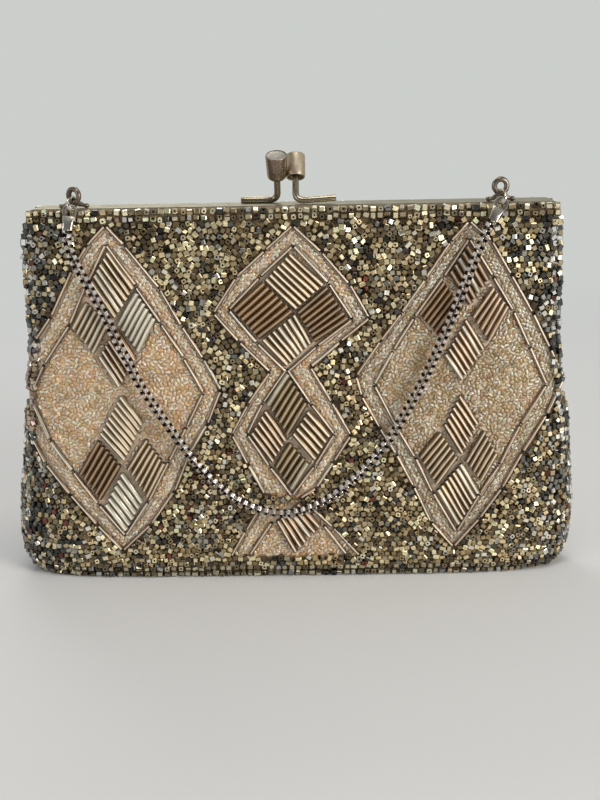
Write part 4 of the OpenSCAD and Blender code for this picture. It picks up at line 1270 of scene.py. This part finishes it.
def handle_link(side):
    """A bright flattened link from the lug to the end cap."""
    start, end = np.array([HANDLE[side]["x"], EYE_Y, EYE_WIRE_Z]), pivot(side)
    way = unit(end - start)
    flat = oval(np.linalg.norm(end - start), 1.7)
    twist = math.radians(28 if side == "left" else -28)
    lie = unit(np.cross([1.0, 0, 0], way)) * math.cos(twist) + np.array([1.0, 0, 0]) * math.sin(twist)
    path = (start + end) / 2 + flat[:, :1] * way + flat[:, 1:] * lie
    points, faces = strip_loop(path, np.cross(way, lie), 0.6, 0.36)
    obj = clean_piece(f"oval_link_{side}", points, faces, BRIGHT_METAL, 50)
    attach(obj, "handle_links")
    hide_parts(f"handle_link_{side}")
    return obj


def box_section(half_w, half_d, corner, steps=4):
    """A rounded rectangle, as (x, y) points."""
    out = []
    for sx, sy, a0 in ((1, 1, 0), (-1, 1, 90), (-1, -1, 180), (1, -1, 270)):
        for a in np.radians(np.linspace(a0, a0 + 90, steps)):
            out.append((sx * (half_w - corner) + corner * math.cos(a),
                        sy * (half_d - corner) + corner * math.sin(a)))
    return out


# The end caps' sleeve, as (height, half width, half depth, corner) from the eye down and back up inside
SLEEVE = [(-3.75, 2.2, 0.5, 0.3), (-4.3, 2.18, 0.8, 0.4), (-5.2, 2.0, 1.2, 0.5), (-6.2, 1.86, 1.55, 0.6),
          (-7.4, 1.8, 1.72, 0.6), (-8.5, 1.8, 1.78, 0.6), (-8.6, 1.66, 1.64, 0.5), (-7.6, 1.5, 1.46, 0.4)]


def end_cap(side):
    """A pressed cap: a flat eye with an oval hole that narrows into a sleeve round the chain's end."""
    sides = 40
    turn = np.linspace(0, 2 * np.pi, sides, endpoint=False)
    c, s = np.cos(turn), np.sin(turn)
    reach = np.where(s > 0, 2.45, 3.8)

    def loop(inset, hole, y):
        wide, high = (1.3 + inset, 1.6 + inset) if hole else (2.5 - inset, reach - inset)
        return np.stack([wide * c, np.full(sides, y), -2.0 + high * s], 1)

    eye = [loop(0, True, -0.32), loop(0.16, True, -0.5), loop(0.16, False, -0.5), loop(0, False, -0.32),
           loop(0, False, 0.32), loop(0.16, False, 0.5), loop(0.16, True, 0.5), loop(0, True, 0.32)]
    rings = np.array([[(x, y, z) for x, y in box_section(w, d, r)] for z, w, d, r in SLEEVE])
    n, m = rings.shape[:2]
    faces = ring_faces(n, m).tolist() + [list(range(m)), list(range((n - 1) * m, n * m))]
    faces += (ring_faces(len(eye), sides, True) + n * m).tolist()
    points = moved(np.vstack([rings.reshape(-1, 3), *eye]), -cap_way(side), pivot(side))
    obj = clean_piece(f"end_cap_{side}", points, faces, BRIGHT_METAL, 35)
    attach(obj, "handle")
    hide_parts(f"chain_end_{side}")
    return obj


CHAIN_ROUTE = [(-77.5, -15, 121), (-73.5, -15.8, 113), (-68.5, -16.6, 103.5), (-64.5, -17.1, 94.5),
               (-60, -17.5, 84.5), (-55.5, -17.8, 75), (-50, -18.1, 66), (-44, -18.3, 56.5),
               (-37.5, -18.6, 47), (-30.5, -18.8, 39), (-22, -18.8, 32), (-12.5, -18.8, 27.5),
               (-2, -18.8, 26.5), (9, -18.8, 30.5), (19.5, -18.8, 38), (28.5, -18.6, 47.5),
               (35, -18.4, 56), (41, -18.2, 66.5), (46.5, -17.9, 77), (51.5, -17.5, 88), (56.5, -17, 100),
               (61, -16.4, 111.5), (65, -15.5, 121.5)]
CAP_LENGTH = 8.4
LINK_PITCH = 1.4


def chain_path():
    ends = {side: [pivot(side) + cap_way(side) * (CAP_LENGTH + extra) for extra in (0, CHAIN_T)]
            for side in HANDLE}
    return np.array([*ends["left"], *CHAIN_ROUTE, *ends["right"][::-1]])


def chain():
    """Square rings of flat strip, each through the next and turned by a right angle from it."""
    route = chain_path()
    length = np.linalg.norm(np.diff(smooth_path(route, 400), axis=0), axis=1).sum()
    count = int(length / LINK_PITCH)
    line = smooth_path(route, 2 * count + 1)
    centres = line[1::2]
    ways = unit(line[2::2] - line[:-1:2])
    points, faces, dark = [], [], []
    half_l, half_w, thick, wide = 0.95, 1.6, 0.17, 0.86
    loop = np.array(box_section(half_l - thick, half_w - thick, 0.64))
    for i, (c, t) in enumerate(zip(centres, ways)):
        front = unit(np.array([0, -1.0, 0]) - t * -t[1])
        side = np.cross(t, front)
        twist = math.radians(45 + 7 * math.sin(i / 19) + 90 * (i % 2))
        across = math.cos(twist) * side + math.sin(twist) * front
        through = np.cross(t, across)
        ring, quads = strip_loop(c + loop[:, :1] * t + loop[:, 1:] * across, through, wide, thick, 0.6)
        corners = ring[quads] - c
        outward = np.cross(corners[:, 1] - corners[:, 0], corners[:, 2] - corners[:, 0])
        radial = corners.mean(1) - (corners.mean(1) @ through)[:, None] * through
        # Faces that turn into the link get the dark material: tarnish together with painted shade for the
        # links' insides.
        dark.append((unit(outward) * unit(radial)).sum(1) < 0.1)
        faces.append(quads + i * len(ring))
        points.append(ring)
    obj = mesh_piece("chain", np.vstack(points), np.vstack(faces), [CHAIN_METAL, CHAIN_DARK],
                     np.concatenate(dark), False)
    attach(obj, "handle")
    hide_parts("handle_chain")


# Camera, floor and light
SURROUND = (0.60, 0.62, 0.60)


def seen_rays(tree):
    """1 where the ray is from the camera, and 1 where it is seen in metal or through glass."""
    path = add(tree, "LightPath")
    shiny = maths(tree, "MAXIMUM", path.outputs["Is Glossy Ray"], path.outputs["Is Transmission Ray"])
    return path.outputs["Is Camera Ray"], shiny


def camera_setup():
    scene = bpy.context.scene
    camera = bpy.data.objects.new("camera", bpy.data.cameras.new("camera"))
    scene.collection.objects.link(camera)
    camera.data.lens = 54
    camera.data.sensor_width = 36
    camera.data.clip_start = 0.01
    camera.data.clip_end = 30
    pitch, yaw, roll = math.radians(14.55), math.radians(-0.74), math.radians(-1.04)
    forward = Vector((math.cos(pitch) * math.sin(yaw), math.cos(pitch) * math.cos(yaw), -math.sin(pitch)))
    turn = forward.to_track_quat("-Z", "Y").to_matrix().to_4x4() @ Matrix.Rotation(roll, 4, "Z")
    camera.matrix_world = Matrix.Translation((0.007, -0.4366, 0.178)) @ turn
    scene.camera = camera
    scene.view_settings.view_transform = "Standard"


def smooth_step(tree, value, **highlight_levels):
    node = add(tree, "MapRange", {"Value": value}, **highlight_levels)
    node.interpolation_type = "SMOOTHSTEP"
    return node.outputs["Result"]


def floor_setup():
    """A pale floor that turns into the colour of the surroundings further off."""
    mesh = bpy.data.meshes.new("floor")
    reach = 8
    corners = [(-reach, -reach, 0), (reach, -reach, 0), (reach, reach, 0), (-reach, reach, 0)]
    mesh.from_pydata(corners, [], [(0, 1, 2, 3)])
    floor = new_object("floor", mesh)
    made, tree, shader = material("floor")
    colour, place = two_tone(tree, 3, [(0.3, (0.66, 0.65, 0.63)), (0.7, (0.69, 0.68, 0.66))])
    tree.links.new(colour, shader.inputs["Base Color"])
    set_inputs(shader, Roughness=0.85)
    distance = add(tree, "VectorMath", {0: place}, "LENGTH").outputs["Value"]
    fade = smooth_step(tree, distance, From_Min=0.18, From_Max=0.8)
    share = maths(tree, "MULTIPLY", fade, maths(tree, "MAXIMUM", *seen_rays(tree)))
    far = add(tree, "Emission", Color=(*SURROUND, 1))
    mix = add(tree, "MixShader", {0: share, 1: shader.outputs["BSDF"], 2: far.outputs["Emission"]})
    tree.links.new(mix.outputs["Shader"], tree.nodes["Material Output"].inputs["Surface"])
    mesh.materials.append(made)


def world_setup():
    """Pale where it is seen. Reflections are dimmer towards the front, like a room behind the viewer."""
    world = bpy.data.worlds.new("studio")
    world.use_nodes = True
    bpy.context.scene.world = world
    tree = world.node_tree
    soft = tree.nodes["Background"]
    set_inputs(soft, Color=(0.40, 0.41, 0.42, 1))
    plain = add(tree, "Background", Color=(*SURROUND, 1))
    place = add(tree, "TexCoord").outputs["Generated"]
    split = add(tree, "SeparateXYZ", {"Vector": place})
    level = smooth_step(tree, split.outputs["Y"], From_Min=-0.9, From_Max=0.2, To_Min=0.22, To_Max=1.0)
    room = add(tree, "Background", {"Strength": level}, Color=(*SURROUND, 1))
    camera, shiny = seen_rays(tree)
    unseen = add(tree, "MixShader", {0: shiny, 1: soft.outputs["Background"], 2: room.outputs["Background"]})
    mix = add(tree, "MixShader", {0: camera, 1: unseen.outputs["Shader"], 2: plain.outputs["Background"]})
    tree.links.new(mix.outputs["Shader"], tree.nodes["World Output"].inputs["Surface"])


def lamp(name, place, size, power, tint):
    light = bpy.data.lights.new(name, "AREA")
    light.shape = "RECTANGLE"
    light.size, light.size_y = size
    light.energy = power
    light.color = tint
    obj = new_object(name, light)
    obj.location = place
    obj.rotation_mode = "QUATERNION"
    obj.rotation_quaternion = (Vector((0, 0, 0.07)) - Vector(place)).to_track_quat("-Z", "Y")


camera_setup()
LINKS = [handle_link(side) for side in HANDLE]
CAPS = [end_cap(side) for side in HANDLE]
chain()
floor_setup()
world_setup()
lamp("window", (0.85, -0.72, 0.36), (0.5, 0.5), 7.5, (1, 0.98, 0.94))
lamp("fill", (-0.85, -0.75, 0.42), (0.4, 0.4), 1.8, (0.93, 0.96, 1))
lamp("overhead", (0.1, -0.25, 1.1), (0.5, 0.4), 3.4, (1, 0.98, 0.95))
lamp("rear", (-0.3, 0.9, 0.8), (0.6, 0.4), 3.2, (1, 1, 1))

for back in (False, True):
    front_cloth(back)
    lining_wall(back)
    background_beads(back)
    seed_beads(back)
    bugle_beads(back)
    stitches(back)
    row_beads(back)
    side_beads(back)
seam_beads()
side_cloth(-1.0)
side_cloth(1.0)
base_cloth()
lining_floor()
pocket()
for side in LOCK:
    lock_knob(side, *lock_arm(side))
for side in HANDLE:
    ring_lug(side)

CAD_METALS = {"front_rail": FRAME_METAL, "rear_rail": FRAME_METAL, "front_retaining_strip": FRAME_METAL,
              "rear_retaining_strip": FRAME_METAL, "hinge_rivet_left": BRIGHT_METAL,
              "hinge_rivet_right": BRIGHT_METAL, "hinge_washer_left": DARK_METAL,
              "hinge_washer_right": DARK_METAL, "base_stiffener": BOARD_CARD}
for name, metal in CAD_METALS.items():
    NODES[name].data.materials.clear()
    NODES[name].data.materials.append(metal)
